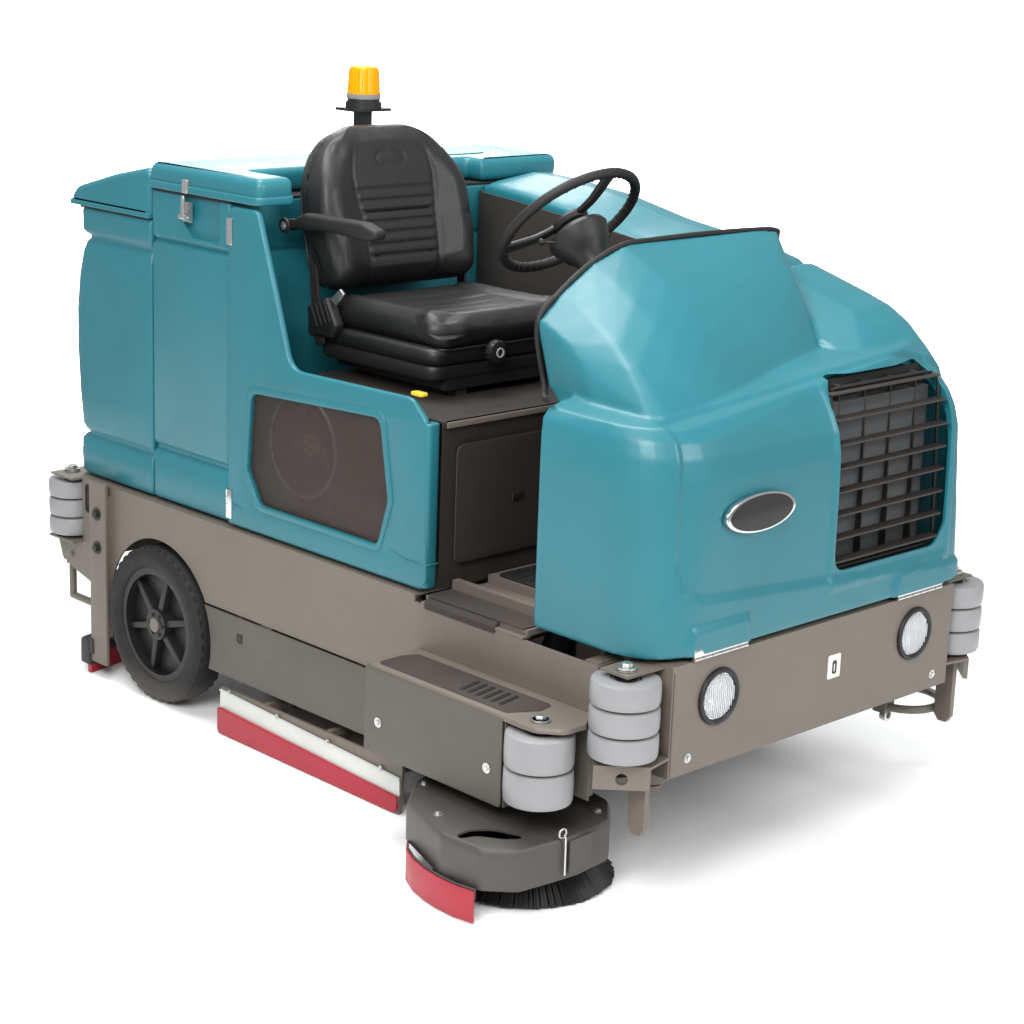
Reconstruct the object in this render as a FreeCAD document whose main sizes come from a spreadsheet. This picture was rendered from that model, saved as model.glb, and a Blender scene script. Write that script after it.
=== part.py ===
import FreeCAD, Part
import Sketcher
import math
import os
import re

# Ride-on floor scrubber, in millimetres: +Z up, front towards -Y, entry side towards -X.
# Heights are above the floor.  x and y in the outlines are measured from the machine's own
# centre plane and origin, and every sub-part is moved by mid_x and mid_y, so that the whole
# machine stands centred over the origin although the side brush sticks out on one side.

os.makedirs("parts", exist_ok=True)
doc = FreeCAD.newDocument("ride_on_floor_scrubber")
dims = doc.addObject("Spreadsheet::Sheet", "dims")

DRIVING = [
    # alias, value, what it is
    ("mid_x", 139.0, "shift that centres the machine across its width"),
    ("mid_y", 2.5, "shift that centres the machine along its length"),
    ("frame_half", 620.0, "half width of the steel frame"),
    ("plate", 6.0, "frame plate thickness"),
    ("deck_z", 575.0, "top of the frame"),
    ("nose_y", -1186.0, "front face of frame and shroud"),
    ("tail_y", 1125.0, "rearmost point of the recovery tank"),
    ("shell_half", 600.0, "half width of the moulded shells"),
    ("shell_z", 581.0, "underside of the moulded shells"),
    ("wall", 8.0, "moulded shell thickness"),
    ("skirt_z", 155.0, "underside of the frame skirt"),
    ("door_top_z", 342.0, "top of the brush door opening"),
    ("wheel_rad", 225.0, "tyre radius"),
    ("rear_axle_y", 659.0, "rear axle"),
    ("drive_y", -500.0, "steering pivot of the drive wheel"),
    ("arch_rad", 245.0, "wheel arch radius"),
    ("running", 0.06, "radial clearance of a shaft in its bore"),
    ("roller_rad", 81.0, "front corner roller radius"),
    ("rear_roller_rad", 70.0, "rear corner roller radius"),
    ("roller_pin", 12.0, "corner roller pin radius"),
    ("platform_z", 1000.0, "top of the seat platform"),
    ("platform_y", -432.0, "front wall of the seat platform"),
    ("console_x", 286.0, "inner wall of the left-hand cowl"),
    ("tank_z", 1440.0, "top of the solution tank"),
    ("tank_split_y", 716.0, "joint between solution tank and recovery tank"),
    ("tank_front_y", 364.0, "front wall of the solution tank"),
    ("rear_tank_z", 1352.0, "top of the recovery tank"),
    ("lid_top_z", 1515.0, "top of the middle lid"),
    ("hood_z", 1240.0, "lower edge of the side hood"),
    ("cover_hinge_x", 604.0, "hinge line of lids and hood"),
    ("seat_x", -155.0, "centre line of seat and steering wheel"),
    ("seat_half", 250.0, "half width of the seat cushion"),
    ("cushion_top_z", 1190.0, "top of the seat cushion"),
    ("column_lean", -45.0, "lean of the steering wheel axis from vertical"),
    ("steer_wheel_rad", 187.0, "steering wheel rim, to the middle of the grip"),
    ("steer_y", -435.0, "steering wheel centre"),
    ("steer_z", 1459.0, "steering wheel centre"),
    ("tilt_y", -579.2, "column tilt pin, on the steering axis 204 below the wheel centre"),
    ("tilt_z", 1314.8, "column tilt pin"),
    ("brush_rad", 115.0, "main scrub brush radius"),
    ("brush_half", 500.0, "half length of the main scrub brushes"),
    ("brush_gap", 125.0, "main brush axis to the scrub head centre"),
    ("head_y", 20.0, "centre of the scrub head"),
    ("side_brush_x", -645.0, "side brush axis"),
    ("side_brush_y", -850.0, "side brush axis"),
    ("side_brush_rad", 215.0, "side brush radius at the floor"),
    ("side_pivot_x", -380.0, "side brush arm pivot"),
    ("side_pivot_y", -1000.0, "side brush arm pivot"),
    ("step_x", -705.0, "outer face of the step box"),
    ("step_z", 437.0, "top of the step box"),
    ("lamp_x", 375.0, "headlight centre"),
    ("lamp_z", 474.0, "headlight centre"),
    ("lamp_rad", 57.0, "headlight lens radius"),
    ("beacon_x", -78.0, "beacon axis"),
    ("beacon_y", 450.0, "beacon axis"),
    ("squeegee_y", 976.0, "rear squeegee at its ends"),
    ("squeegee_bow", 100.0, "how far the rear squeegee bows backwards"),
    ("squeegee_half", 650.0, "half length of the rear squeegee"),
    ("tie_hole_rad", 14.0, "tie-down hole radius"),
]

for row, (alias, value, note) in enumerate(DRIVING, start=1):
    dims.set("A%d" % row, alias)
    dims.set("B%d" % row, str(value))
    dims.set("C%d" % row, note)
    dims.setAlias("B%d" % row, alias)
doc.recompute()

NODES = []
WORD = re.compile(r"[a-z][a-z_]+")


# ---------------------------------------------------------------- helpers

def sheet(text):
    """Turn words in a formula into references to the spreadsheet."""
    return WORD.sub(lambda word: "dims." + word.group(0), str(text))


def bind(obj, prop, text):
    obj.setExpression(prop, sheet(text))


def place(obj, x, y, z):
    """Put an object at a point of the machine."""
    bind(obj, "Placement.Base.x", "mid_x + (%s)" % x)
    bind(obj, "Placement.Base.y", "mid_y + (%s)" % y)
    bind(obj, "Placement.Base.z", z)


def node(label, obj):
    """Name a finished sub-part and put it on the list to be written."""
    obj.Label = label
    NODES.append(obj)
    return obj


def box(name, x, y, z):
    """A block between two corners; each argument is a (low, high) pair."""
    block = doc.addObject("Part::Box", name)
    bind(block, "Length", "(%s) - (%s)" % (x[1], x[0]))
    bind(block, "Width", "(%s) - (%s)" % (y[1], y[0]))
    bind(block, "Height", "(%s) - (%s)" % (z[1], z[0]))
    place(block, x[0], y[0], z[0])
    return block


TURN = {
    "X": FreeCAD.Rotation(FreeCAD.Vector(0, 1, 0), 90),
    "Y": FreeCAD.Rotation(FreeCAD.Vector(1, 0, 0), -90),
    "Z": FreeCAD.Rotation(),
}


def start_point(axis, low, u, v):
    """The point where a bar along an axis starts; u, v are its other two coordinates."""
    return {"X": (low, u, v), "Y": (u, low, v), "Z": (u, v, low)}[axis]


def rod(name, axis, radius, span, u, v):
    """A round bar along an axis of the machine."""
    bar = doc.addObject("Part::Cylinder", name)
    bind(bar, "Radius", radius)
    bind(bar, "Height", "(%s) - (%s)" % (span[1], span[0]))
    bar.Placement.Rotation = TURN[axis]
    place(bar, *start_point(axis, span[0], u, v))
    return bar


def cone(name, axis, radius_low, radius_high, span, u, v):
    shape = doc.addObject("Part::Cone", name)
    bind(shape, "Radius1", radius_low)
    bind(shape, "Radius2", radius_high)
    bind(shape, "Height", "(%s) - (%s)" % (span[1], span[0]))
    shape.Placement.Rotation = TURN[axis]
    place(shape, *start_point(axis, span[0], u, v))
    return shape


def fuse(name, *parts):
    joined = doc.addObject("Part::MultiFuse", name)
    joined.Shapes = list(parts)
    return joined


def group(name, parts):
    """Separate solids that share one sub-part, such as a set of bolts."""
    bundle = doc.addObject("Part::Compound", name)
    bundle.Links = list(parts)
    return bundle


def cut(name, base, *tools):
    whole = doc.addObject("Part::Cut", name)
    whole.Base = base
    whole.Tool = tools[0] if len(tools) == 1 else fuse(name + "_tool", *tools)
    return whole


def tube(name, axis, outer, inner, span, u, v):
    return cut(name, rod(name + "_outer", axis, outer, span, u, v),
               rod(name + "_bore", axis, inner, ("(%s) - 1" % span[0], "(%s) + 1" % span[1]), u, v))


def mirror(name, source):
    """The same piece on the other side of the machine's centre plane."""
    twin = doc.addObject("Part::Mirroring", name)
    twin.Source = source
    twin.Normal = (1, 0, 0)
    bind(twin, "Base.x", "mid_x")
    return twin


def sketch(body, plane, offset, points):
    """A closed outline on one of the body's planes, every corner held by two dimensions."""
    outline = body.newObject("Sketcher::SketchObject", body.Name + "_outline")
    planes = [item for item in body.Origin.OriginFeatures if item.Role == plane + "_Plane"]
    outline.AttachmentSupport = (planes[0], [""])
    outline.MapMode = "FlatFace"
    bind(outline, "AttachmentOffset.Base.z", offset)
    count = len(points)
    ring = [FreeCAD.Vector(10 * math.cos(2 * math.pi * i / count), 10 * math.sin(2 * math.pi * i / count),
                           0)
            for i in range(count)]
    for i in range(count):
        outline.addGeometry(Part.LineSegment(ring[i], ring[(i + 1) % count]), False)
    for i in range(count):
        outline.addConstraint(Sketcher.Constraint("Coincident", i, 2, (i + 1) % count, 1))
    for i, (u, v) in enumerate(points):
        for kind, text, start in (("DistanceX", u, ring[i].x), ("DistanceY", v, ring[i].y)):
            index = outline.addConstraint(Sketcher.Constraint(kind, -1, 1, i, 1, start))
            bind(outline, "Constraints[%d]" % index, text)
    return outline


def pad(name, plane, points, span):
    """A body made by raising an outline between two positions across its plane."""
    body = doc.addObject("PartDesign::Body", name)
    place(body, 0, 0, 0)
    low, high = span
    offset = "-(%s)" % high if plane == "XZ" else low
    raised = body.newObject("PartDesign::Pad", name + "_pad")
    raised.Profile = sketch(body, plane, offset, points)
    bind(raised, "Length", "(%s) - (%s)" % (high, low))
    doc.recompute()
    return body


def pocket(body, plane, points, span):
    """Sink an outline into a body between two positions across its plane."""
    low, high = span
    offset = "-(%s)" % low if plane == "XZ" else high
    before = body.Shape.Volume
    sunk = body.newObject("PartDesign::Pocket", body.Name + "_pocket")
    sunk.Profile = sketch(body, plane, offset, points)
    bind(sunk, "Length", "(%s) - (%s)" % (high, low))
    doc.recompute()
    if not body.Shape.Volume < before - 1:
        raise RuntimeError("pocket in %s removed nothing" % body.Name)
    return body


def edges_where(shape, test):
    """Names of the edges whose bounding box passes a test."""
    return ["Edge%d" % (i + 1) for i, edge in enumerate(shape.Edges) if test(edge.BoundBox)]


def fillet(body, radius, test):
    base = body.Tip
    rounded = body.newObject("PartDesign::Fillet", body.Name + "_fillet")
    rounded.Base = (base, edges_where(base.Shape, test))
    bind(rounded, "Radius", radius)
    doc.recompute()
    return body


def rect(u, v):
    """Corners of a rectangle from two (low, high) pairs."""
    return [(u[0], v[0]), (u[1], v[0]), (u[1], v[1]), (u[0], v[1])]


def lean(obj, x, y, z, angle):
    """Place a piece built about the origin, tipped about the machine's X axis."""
    place(obj, x, y, z)
    obj.Placement.Rotation = FreeCAD.Rotation(FreeCAD.Vector(1, 0, 0), 1)
    bind(obj, "Placement.Rotation.Angle", angle)
    return obj


def torus(name, radius, thickness, x, y, z):
    hoop = doc.addObject("Part::Torus", name)
    bind(hoop, "Radius1", radius)
    bind(hoop, "Radius2", thickness)
    place(hoop, x, y, z)
    return hoop


def both_sides(label_right, label_left, right):
    """A piece on the entry side and its mirror image, as two sub-parts."""
    node(label_right, right)
    node(label_left, mirror(label_left, right))


# ---------------------------------------------------------------- steel frame

def side_plate():
    profile = [("tail_y + 44", "385"), ("tail_y + 44", "360"), ("1150", "311"), ("1097", "290"),
               ("977", "260"), ("rear_axle_y", "260"), ("rear_axle_y", "door_top_z"),
               ("-326", "door_top_z"), ("-326", "skirt_z"), ("-420", "skirt_z"), ("-420", "320"),
               ("-1036", "320"), ("-1036", "556"), ("-413", "556"), ("-413", "deck_z"),
               ("1040", "deck_z"), ("1040", "385")]
    plate = pad("side_plate_blank", "YZ", profile, ("-frame_half", "-frame_half + plate"))
    pocket(plate, "YZ", rect(("1001", "1023"), ("476", "557")),
           ("-frame_half - 1", "-frame_half + plate + 1"))
    arch = rod("wheel_arch", "X", "arch_rad", ("-frame_half - 5", "-frame_half + plate + 5"),
               "rear_axle_y", "wheel_rad")
    return cut("side_plate", plate, arch)


def roller_shelf(name, span):
    corner = [("-529", "nose_y"), ("-611", "nose_y - 17"), ("-702", "nose_y + 74"),
              ("-frame_half", "-1030"), ("-529", "-1030")]
    shelf = pad(name, "XY", corner, span)
    hole = rod(name + "_hole", "Z", "roller_pin + running", ("(%s) - 1" % span[0], "(%s) + 1" % span[1]),
               "-622", "-1125")
    return cut(name + "_drilled", shelf, hole)


def main_frame():
    right = side_plate()
    front = box("front_plate", ("-529", "529"), ("nose_y", "nose_y + plate"), ("308", "deck_z"))
    lamp_holes = [rod("lamp_hole_%d" % side, "Y", "lamp_rad + 4", ("nose_y - 1", "nose_y + plate + 1"),
                      "%d * lamp_x" % side, "lamp_z") for side in (-1, 1)]
    front = cut("front_plate_drilled", front, *lamp_holes)
    pocket_side = box("pocket_side", ("-535", "-529"), ("nose_y", "-1030"), ("308", "deck_z"))
    pocket_back = box("pocket_back", ("-frame_half", "-529"), ("-1036", "-1030"), ("308", "556"))
    lower_shelf = roller_shelf("lower_shelf", ("356", "362"))
    ear = box("upper_ear", ("-655", "-529"), ("-1160", "-1075"), ("566", "572"))
    ear = cut("upper_ear_drilled", ear,
              rod("upper_ear_hole", "Z", "roller_pin + running", ("560", "580"), "-622", "-1125"))
    rear_shelf = box("rear_shelf", ("-655", "-540"), ("1040", "1165"), ("379", "385"))
    rear_ear = box("rear_ear", ("-655", "-540"), ("1040", "1150"), ("569", "deck_z"))
    rear_pins = [rod("rear_pin_hole_%d" % z, "Z", "roller_pin + running", ("%d" % z, "%d + 30" % z), "-600",
                     "1120")
                 for z in (370, 555)]
    rear_corner = cut("rear_corner_drilled", fuse("rear_corner", rear_shelf, rear_ear), *rear_pins)
    half = fuse("frame_half_side", right, pocket_side, pocket_back, lower_shelf, ear, rear_corner)
    rails = [box("cross_rail_%d" % i, ("-frame_half + plate", "frame_half - plate"), (y0, y1), (z0, z1))
             for i, (y0, y1, z0, z1) in enumerate((
                 ("-1030", "-990", "520", "560"), ("-427", "-390", "480", "545"),
                 ("310", "350", "470", "560"), ("1026", "1032", "385", "560"),
                 ("1134", "1140", "292", "385")))]
    beams = [box("long_beam_%d" % side, ("%d * 330 - 30" % side, "%d * 330 + 30" % side),
                 ("-1030", "1034"), ("500", "560")) for side in (-1, 1)]
    deck = box("deck", ("-frame_half + plate", "frame_half - plate"), ("-413", "1040"), ("569", "deck_z"))
    nose_deck = box("nose_deck", ("-529", "529"), ("nose_y + plate", "-1030"), ("569", "deck_z"))
    bridge = box("drive_bridge", ("-330", "330"), ("drive_y - 150", "drive_y + 110"), ("500", "560"))
    hangers = [box("axle_hanger_%d" % side, ("%d * 420 - 8" % side, "%d * 420 + 8" % side),
                   ("rear_axle_y - 70", "rear_axle_y + 70"), ("wheel_rad - 60", "569")) for side in (-1, 1)]
    axle_holes = [rod("axle_hole_%d" % side, "X", "35 + running",
                      ("%d * 420 - 20" % side, "%d * 420 + 20" % side),
                      "rear_axle_y", "wheel_rad") for side in (-1, 1)]
    hangers = cut("axle_hangers", fuse("axle_hanger_blanks", *hangers), *axle_holes)
    bearing = tube("slew_ring", "Z", "110", "70", ("472", "500"), "0", "drive_y")
    node("main_frame", fuse("main_frame", half, mirror("frame_other_side", half), front, deck, nose_deck,
                            bridge, hangers, bearing, *(rails + beams)))


def front_corner_plates():
    """45-degree plates under the corner rollers, each with a round tie-down hole."""
    plates = []
    for side in (-1, 1):
        blank = pad("tie_plate_%d" % (side + 1), "XY",
                    [("%d * 702" % side, "nose_y + 74"), ("%d * 611" % side, "nose_y - 17"),
                     ("%d * 602.5" % side, "nose_y - 8.5"), ("%d * 693.5" % side, "nose_y + 82.5")],
                    ("306", "356"))
        hole = rod("tie_hole_%d" % (side + 1), "Z", "tie_hole_rad", ("0", "120"), "0", "0")
        hole.Placement.Rotation = FreeCAD.Rotation(FreeCAD.Vector(0, 0, 1), FreeCAD.Vector(side, -1, 0))
        place(hole, "%d * (656.5 - 50)" % side, "nose_y + 28.5 + 50", "331")
        plates.append(cut("tie_plate_drilled_%d" % (side + 1), blank, hole))
    node("front_corner_plates", group("front_corner_plates", plates))


def corner_legs():
    legs = []
    for side in (-1, 1):
        leg = pad("corner_leg_%d" % (side + 1), "YZ",
                  [("nose_y + 8", "356"), ("nose_y + 8", "200"), ("nose_y + 20", "182"),
                   ("nose_y + 44", "182"), ("nose_y + 58", "200"), ("nose_y + 58", "356")],
                  ("%d * 590 - 8" % side, "%d * 590 + 8" % side))
        legs.append(leg)
    return legs


def rear_guards():
    """Flat bars behind the rear wheels and the bent tubes at the rear corners."""
    post = box("rear_post_right", ("-634", "-frame_half"), ("893", "968"), ("125", "545"))
    pieces = [post, mirror("rear_post_left", post)]
    for side in (-1, 1):
        x = "%d * 560" % side
        tag = "rear_loop_%d" % (side + 1)
        down = rod(tag + "_down", "Z", "11", ("171", "292"), x, "1190")
        under = rod(tag + "_under", "Y", "11", ("1062", "1190"), x, "171")
        up = rod(tag + "_up", "Z", "11", ("171", "292"), x, "1062")
        bends = [doc.addObject("Part::Sphere", tag + "_bend_%d" % i) for i in (0, 1)]
        for bend, y in zip(bends, ("1190", "1062")):
            bind(bend, "Radius", "11")
            place(bend, x, y, "171")
        flange = box(tag + "_flange", ("%s - 25" % x, "%s + 25" % x), ("1140", "1201"), ("286", "292"))
        foot = box(tag + "_foot", ("%s - 25" % x, "%s + 25" % x), ("1047", "1140"), ("286", "292"))
        pieces.append(fuse(tag, down, under, up, flange, foot, *bends))
    return pieces


def step_box():
    top = pad("step_top", "XY",
              [("-frame_half", "-425"), ("step_x", "-425"), ("step_x", "-895"), ("-788", "-955"),
               ("-788", "-1010"), ("-740", "-1065"), ("-frame_half", "-1065")], ("step_z - 12", "step_z"))
    walls = [
        box("step_outer", ("step_x", "step_x + plate"), ("-907", "-425"), ("215", "step_z - 12")),
        box("step_rear", ("step_x", "-frame_half"), ("-431", "-425"), ("215", "step_z - 12")),
        box("step_pocket_back", ("step_x", "-652"), ("-913", "-907"), ("215", "step_z - 12")),
        box("step_pocket_side", ("-658", "-652"), ("-1065", "-907"), ("215", "step_z - 12")),
        box("step_front", ("-652", "-frame_half"), ("-1065", "-1059"), ("215", "step_z - 12")),
        box("step_ear", ("-788", "-652"), ("-1040", "-930"), ("236", "242")),
        box("step_mount", ("-frame_half - plate", "-frame_half"), ("-1026", "-425"),
            ("322", "step_z - 12")),
    ]
    holes = rod("step_pin_hole", "Z", "roller_pin + running", ("230", "450"), "-745", "-985")
    treads = [box("step_tread_%d" % i, ("step_x + 12", "-frame_half - 12"),
                ("-870 + %d" % (i * 62), "-840 + %d" % (i * 62)), ("step_z",
                                                                   "step_z + 3")) for i in range(6)]
    roller_gap = rod("step_roller_gap", "Z", "roller_rad + 4", ("352", "450"), "-622", "-1125")
    arm_gap = box("step_arm_gap", ("-735", "-600"), ("-1070", "-700"), ("200", "247"))
    node("step_box", cut("step_box", fuse("step_box_blank", top, *(walls + treads)), holes, roller_gap,
                         arm_gap))


def roller_stack(label, radius, x, y, low, high, count):
    """Wheels that turn freely one above another on a pin."""
    pitch = "((%s) - (%s)) / %d" % (high, low, count)
    wheels = []
    for i in range(count):
        tag = "%s_%d" % (label, i)
        bottom = "(%s) + %d * %s" % (low, i, pitch)
        top = "(%s) + %d * %s - 4" % (low, i + 1, pitch)
        wheels.append(tube(tag, "Z", radius, "roller_pin + running", (bottom, top), x, y))
    node(label, group(label, wheels))


def rollers():
    for side, name in ((-1, "right"), (1, "left")):
        roller_stack("front_%s_rollers" % name, "roller_rad", "%d * 622" % side, "-1125", "371", "562", 3)
        roller_stack("rear_%s_rollers" % name, "rear_roller_rad", "%d * 600" % side, "1120", "392", "563",
                     3)
    roller_stack("step_rollers", "roller_rad", "-745", "-985", "250", "423", 2)
    spots = [("%d * 622" % side, "-1125", "350", "581") for side in (-1, 1)]
    spots += [("%d * 600" % side, "1120", "372", "584") for side in (-1, 1)]
    spots += [("-745", "-985", "230", "446")]
    pins = []
    for i, (x, y, low, high) in enumerate(spots):
        shank = rod("pin_shank_%d" % i, "Z", "roller_pin", (low, high), x, y)
        head = rod("pin_head_%d" % i, "Z", "19", ("%s - 9" % high, high), x, y)
        pins.append(fuse("roller_pin_%d" % i, shank, head))
    node("roller_pins", group("roller_pins", pins))


def headlights():
    pieces = []
    for side in (-1, 1):
        x = "%d * lamp_x" % side
        tag = "lamp_%d" % (side + 1)
        pieces.append(tube(tag + "_bezel", "Y", "lamp_rad + 9", "lamp_rad", ("nose_y - 8", "nose_y"), x,
                           "lamp_z"))
        pieces.append(rod(tag + "_lens", "Y", "lamp_rad - 0.5", ("nose_y - 5", "nose_y + 60"), x, "lamp_z"))
    node("headlights", group("headlights", pieces))


def front_tube_loop():
    """Chromed tube on the left front corner and its clamp."""
    hoop = torus("front_loop", "95", "11", "600", "-1020", "205")
    clamp = box("front_loop_clamp", ("488", "528"), ("-1040", "-1000"), ("190", "220"))
    post = box("front_loop_post", ("498", "518"), ("-1030", "-1010"), ("215", "520"))
    return [fuse("front_tube_loop", hoop, clamp, post)]


# ---------------------------------------------------------------- wheels and drive

def wheel(label, x_low, x_high, y, bore):
    """Solid tyre, six-spoke rim and hub, bored for its axle."""
    centre = "wheel_rad"
    tyre = tube(label + "_tyre_blank", "X", "wheel_rad", "150", (x_low, x_high), y, centre)
    middle = "((%s) + (%s)) / 2" % (x_low, x_high)
    rim = tube(label + "_rim_ring", "X", "149.9", "132", ("(%s) + 8" % x_low, "(%s) - 8" % x_high), y,
               centre)
    hub = rod(label + "_hub", "X", "48", ("(%s) + 5" % x_low, "(%s) - 5" % x_high), y, centre)
    spokes = []
    for i in range(3):
        bar = doc.addObject("Part::Box", "%s_spoke_%d" % (label, i))
        bind(bar, "Length", "30")
        bind(bar, "Width", "32")
        bind(bar, "Height", "274")
        turn = math.radians(60 * i)
        bar.Placement.Rotation = FreeCAD.Rotation(FreeCAD.Vector(1, 0, 0), math.degrees(turn))
        place(bar, "%s - 15" % middle,
              "%s + %.4f" % (y, -16 * math.cos(turn) + 137 * math.sin(turn)),
              "%s + %.4f" % (centre, -16 * math.sin(turn) - 137 * math.cos(turn)))
        spokes.append(bar)
    solid = fuse(label + "_rim_blank", rim, hub, *spokes)
    hole = rod(label + "_bore", "X", "%s + running" % bore, ("(%s) - 1" % x_low, "(%s) + 1" % x_high), y,
               centre)
    node(label, group(label, [tyre, cut(label + "_rim", solid, hole)]))


def wheels():
    wheel("rear_right_wheel", "-646", "-546", "rear_axle_y", "20")
    wheel("rear_left_wheel", "546", "646", "rear_axle_y", "20")
    beam = rod("axle_beam", "X", "35", ("-535", "535"), "rear_axle_y", "wheel_rad")
    stub = rod("axle_stub", "X", "20", ("-640", "640"), "rear_axle_y", "wheel_rad")
    node("rear_axle", fuse("rear_axle", beam, stub))
    wheel("drive_wheel", "-60", "60", "drive_y", "20")
    crown = rod("fork_crown", "Z", "105", ("452", "470"), "0", "drive_y")
    stem = rod("fork_stem", "Z", "70 - running", ("470", "498"), "0", "drive_y")
    cheeks = [box("fork_cheek_%d" % side, ("%d * 76 - 8" % side, "%d * 76 + 8" % side),
                  ("drive_y - 45", "drive_y + 45"), ("wheel_rad - 45", "455")) for side in (-1, 1)]
    axle = rod("drive_axle", "X", "20", ("-84", "84"), "drive_y", "wheel_rad")
    motor = rod("drive_motor", "X", "62", ("84", "180"), "drive_y", "wheel_rad + 40")
    node("steering_fork", fuse("steering_fork", crown, stem, axle, motor, *cheeks))


# ---------------------------------------------------------------- scrub head

def scrub_head():
    width = ("-545", "545")
    half_depth = "(brush_gap + brush_rad + 10)"
    rods = [rod("lift_rod_%d" % (side + 1), "Z", "14", ("280", "500"), "%d * 240" % side, "head_y")
            for side in (-1, 1)]
    shell = box("head_shell", width, ("head_y - %s" % half_depth, "head_y + %s" % half_depth),
                ("45", "290"))
    inside = box("head_inside", ("-529", "529"),
                 ("head_y - %s + 6" % half_depth, "head_y + %s - 6" % half_depth), ("20", "270"))
    holes = [rod("head_hole_%d" % i, "X", "15 + running", ("-560", "560"), "head_y + %d * brush_gap" % side,
                 "brush_rad + 2") for i, side in enumerate((-1, 1))]
    node("scrub_head", fuse("scrub_head", cut("scrub_head_shell", shell,
                                              fuse("head_hollow", inside, *holes)), *rods))
    for side, name in ((-1, "front"), (1, "rear")):
        y = "head_y + %d * brush_gap" % side
        roll = rod(name + "_brush_roll", "X", "brush_rad", ("-brush_half", "brush_half"), y,
                   "brush_rad + 2")
        stub = rod(name + "_brush_stub", "X", "15", ("-543", "543"), y, "brush_rad + 2")
        node(name + "_scrub_brush", fuse(name + "_scrub_brush", roll, stub))


def head_guides():
    """Tubes under the deck in which the two lift rods of the scrub head slide."""
    return [tube("lift_guide_%d" % (side + 1), "Z", "26", "14 + running", ("380", "569"), "%d * 240" % side,
                 "head_y")
            for side in (-1, 1)]


def side_squeegees():
    """Squeegee beside the scrub head, hung on two arms that turn on a bar along the machine."""
    y_front, y_rear = "-405", "344"
    bar = rod("side_hinge_bar", "Y", "8", ("-200", "230"), "-572", "135")
    drops = [box("side_drop_%d" % i, ("-582", "-562"), ("%d - 8" % y, "%d + 8" % y), ("127", "485"))
             for i, y in enumerate((-150, 190))]
    plate = box("side_drop_plate", ("-614", "-562"), ("-158", "198"), ("470", "485"))
    hanger = fuse("right_squeegee_hanger", bar, plate, *drops)
    arms = []
    for i, y in enumerate((-110, 150)):
        ring = tube("side_arm_ring_%d" % i, "Y", "15", "8 + running", ("%d - 9" % y, "%d + 9" % y), "-572",
                    "135")
        arm = box("side_arm_%d" % i, ("-633", "-586"), ("%d - 9" % y, "%d + 9" % y), ("118", "134"))
        arms.append(fuse("side_squeegee_arm_%d" % i, ring, arm))
    holder = pad("side_holder", "XZ", [("-640", "130"), ("-632", "130"), ("-632", "44"), ("-648", "30"),
                                       ("-654", "36"), ("-640", "56")], (y_front, y_rear))
    blade = pad("side_blade", "XZ", [("-632", "44"), ("-648", "30"), ("-650", "1"), ("-640", "1"),
                                     ("-632", "32")], (y_front, y_rear))
    pieces = [fuse("side_squeegee_holder", holder, *arms), blade]
    both_sides("right_side_squeegee", "left_side_squeegee", group("side_squeegee", pieces))
    return [hanger, mirror("left_squeegee_hanger", hanger)]


def rear_squeegee():
    """Bowed squeegee across the back, hung on a yoke that turns behind the rear axle."""
    def bow(inset, depth):
        front = []
        back = []
        for share in (-1.0, -0.6, -0.2, 0.2, 0.6, 1.0):
            x = "%.1f * (squeegee_half - %s)" % (share, inset)
            y = "squeegee_y + squeegee_bow * %.2f" % (1 - share * share)
            front.append((x, "%s - %s" % (y, depth)))
            back.append((x, "%s + %s" % (y, depth)))
        return front + back[::-1]
    holder = pad("rear_holder", "XY", bow("0", "22"), ("62", "108"))
    node("rear_squeegee_blade", pad("rear_blade", "XY", bow("4", "9"), ("1", "62")))
    arms = []
    for i, side in enumerate((-1, 1)):
        x = "%d * 170" % side
        ring = tube("yoke_ring_%d" % i, "X", "22", "12 + running", ("%s - 12" % x, "%s + 12" % x), "900",
                    "330")
        arm = pad("yoke_arm_%d" % i, "YZ", [("908", "314"), ("922", "330"), ("1086", "120"),
                                            ("1086", "108"),
                                            ("1052", "108")], ("%s - 12" % x, "%s + 12" % x))
        arms.append(fuse("squeegee_yoke_%d" % i, ring, arm))
    node("rear_squeegee_frame", fuse("rear_squeegee_frame", holder, *arms))
    bracket = []
    for i, side in enumerate((-1, 1)):
        x = "%d * 170" % side
        pin = rod("yoke_pin_%d" % i, "X", "12", ("%s - 32" % x, "%s + 32" % x), "900", "330")
        ears = [box("yoke_ear_%d_%d" % (i, j), ("%s + %d" % (x, a), "%s + %d" % (x, a + 14)),
                    ("875", "925"),
                    ("305", "569")) for j, a in enumerate((-28, 14))]
        bracket.append(fuse("yoke_bracket_%d" % i, pin, *ears))
    return bracket


# ---------------------------------------------------------------- side brush

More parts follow.
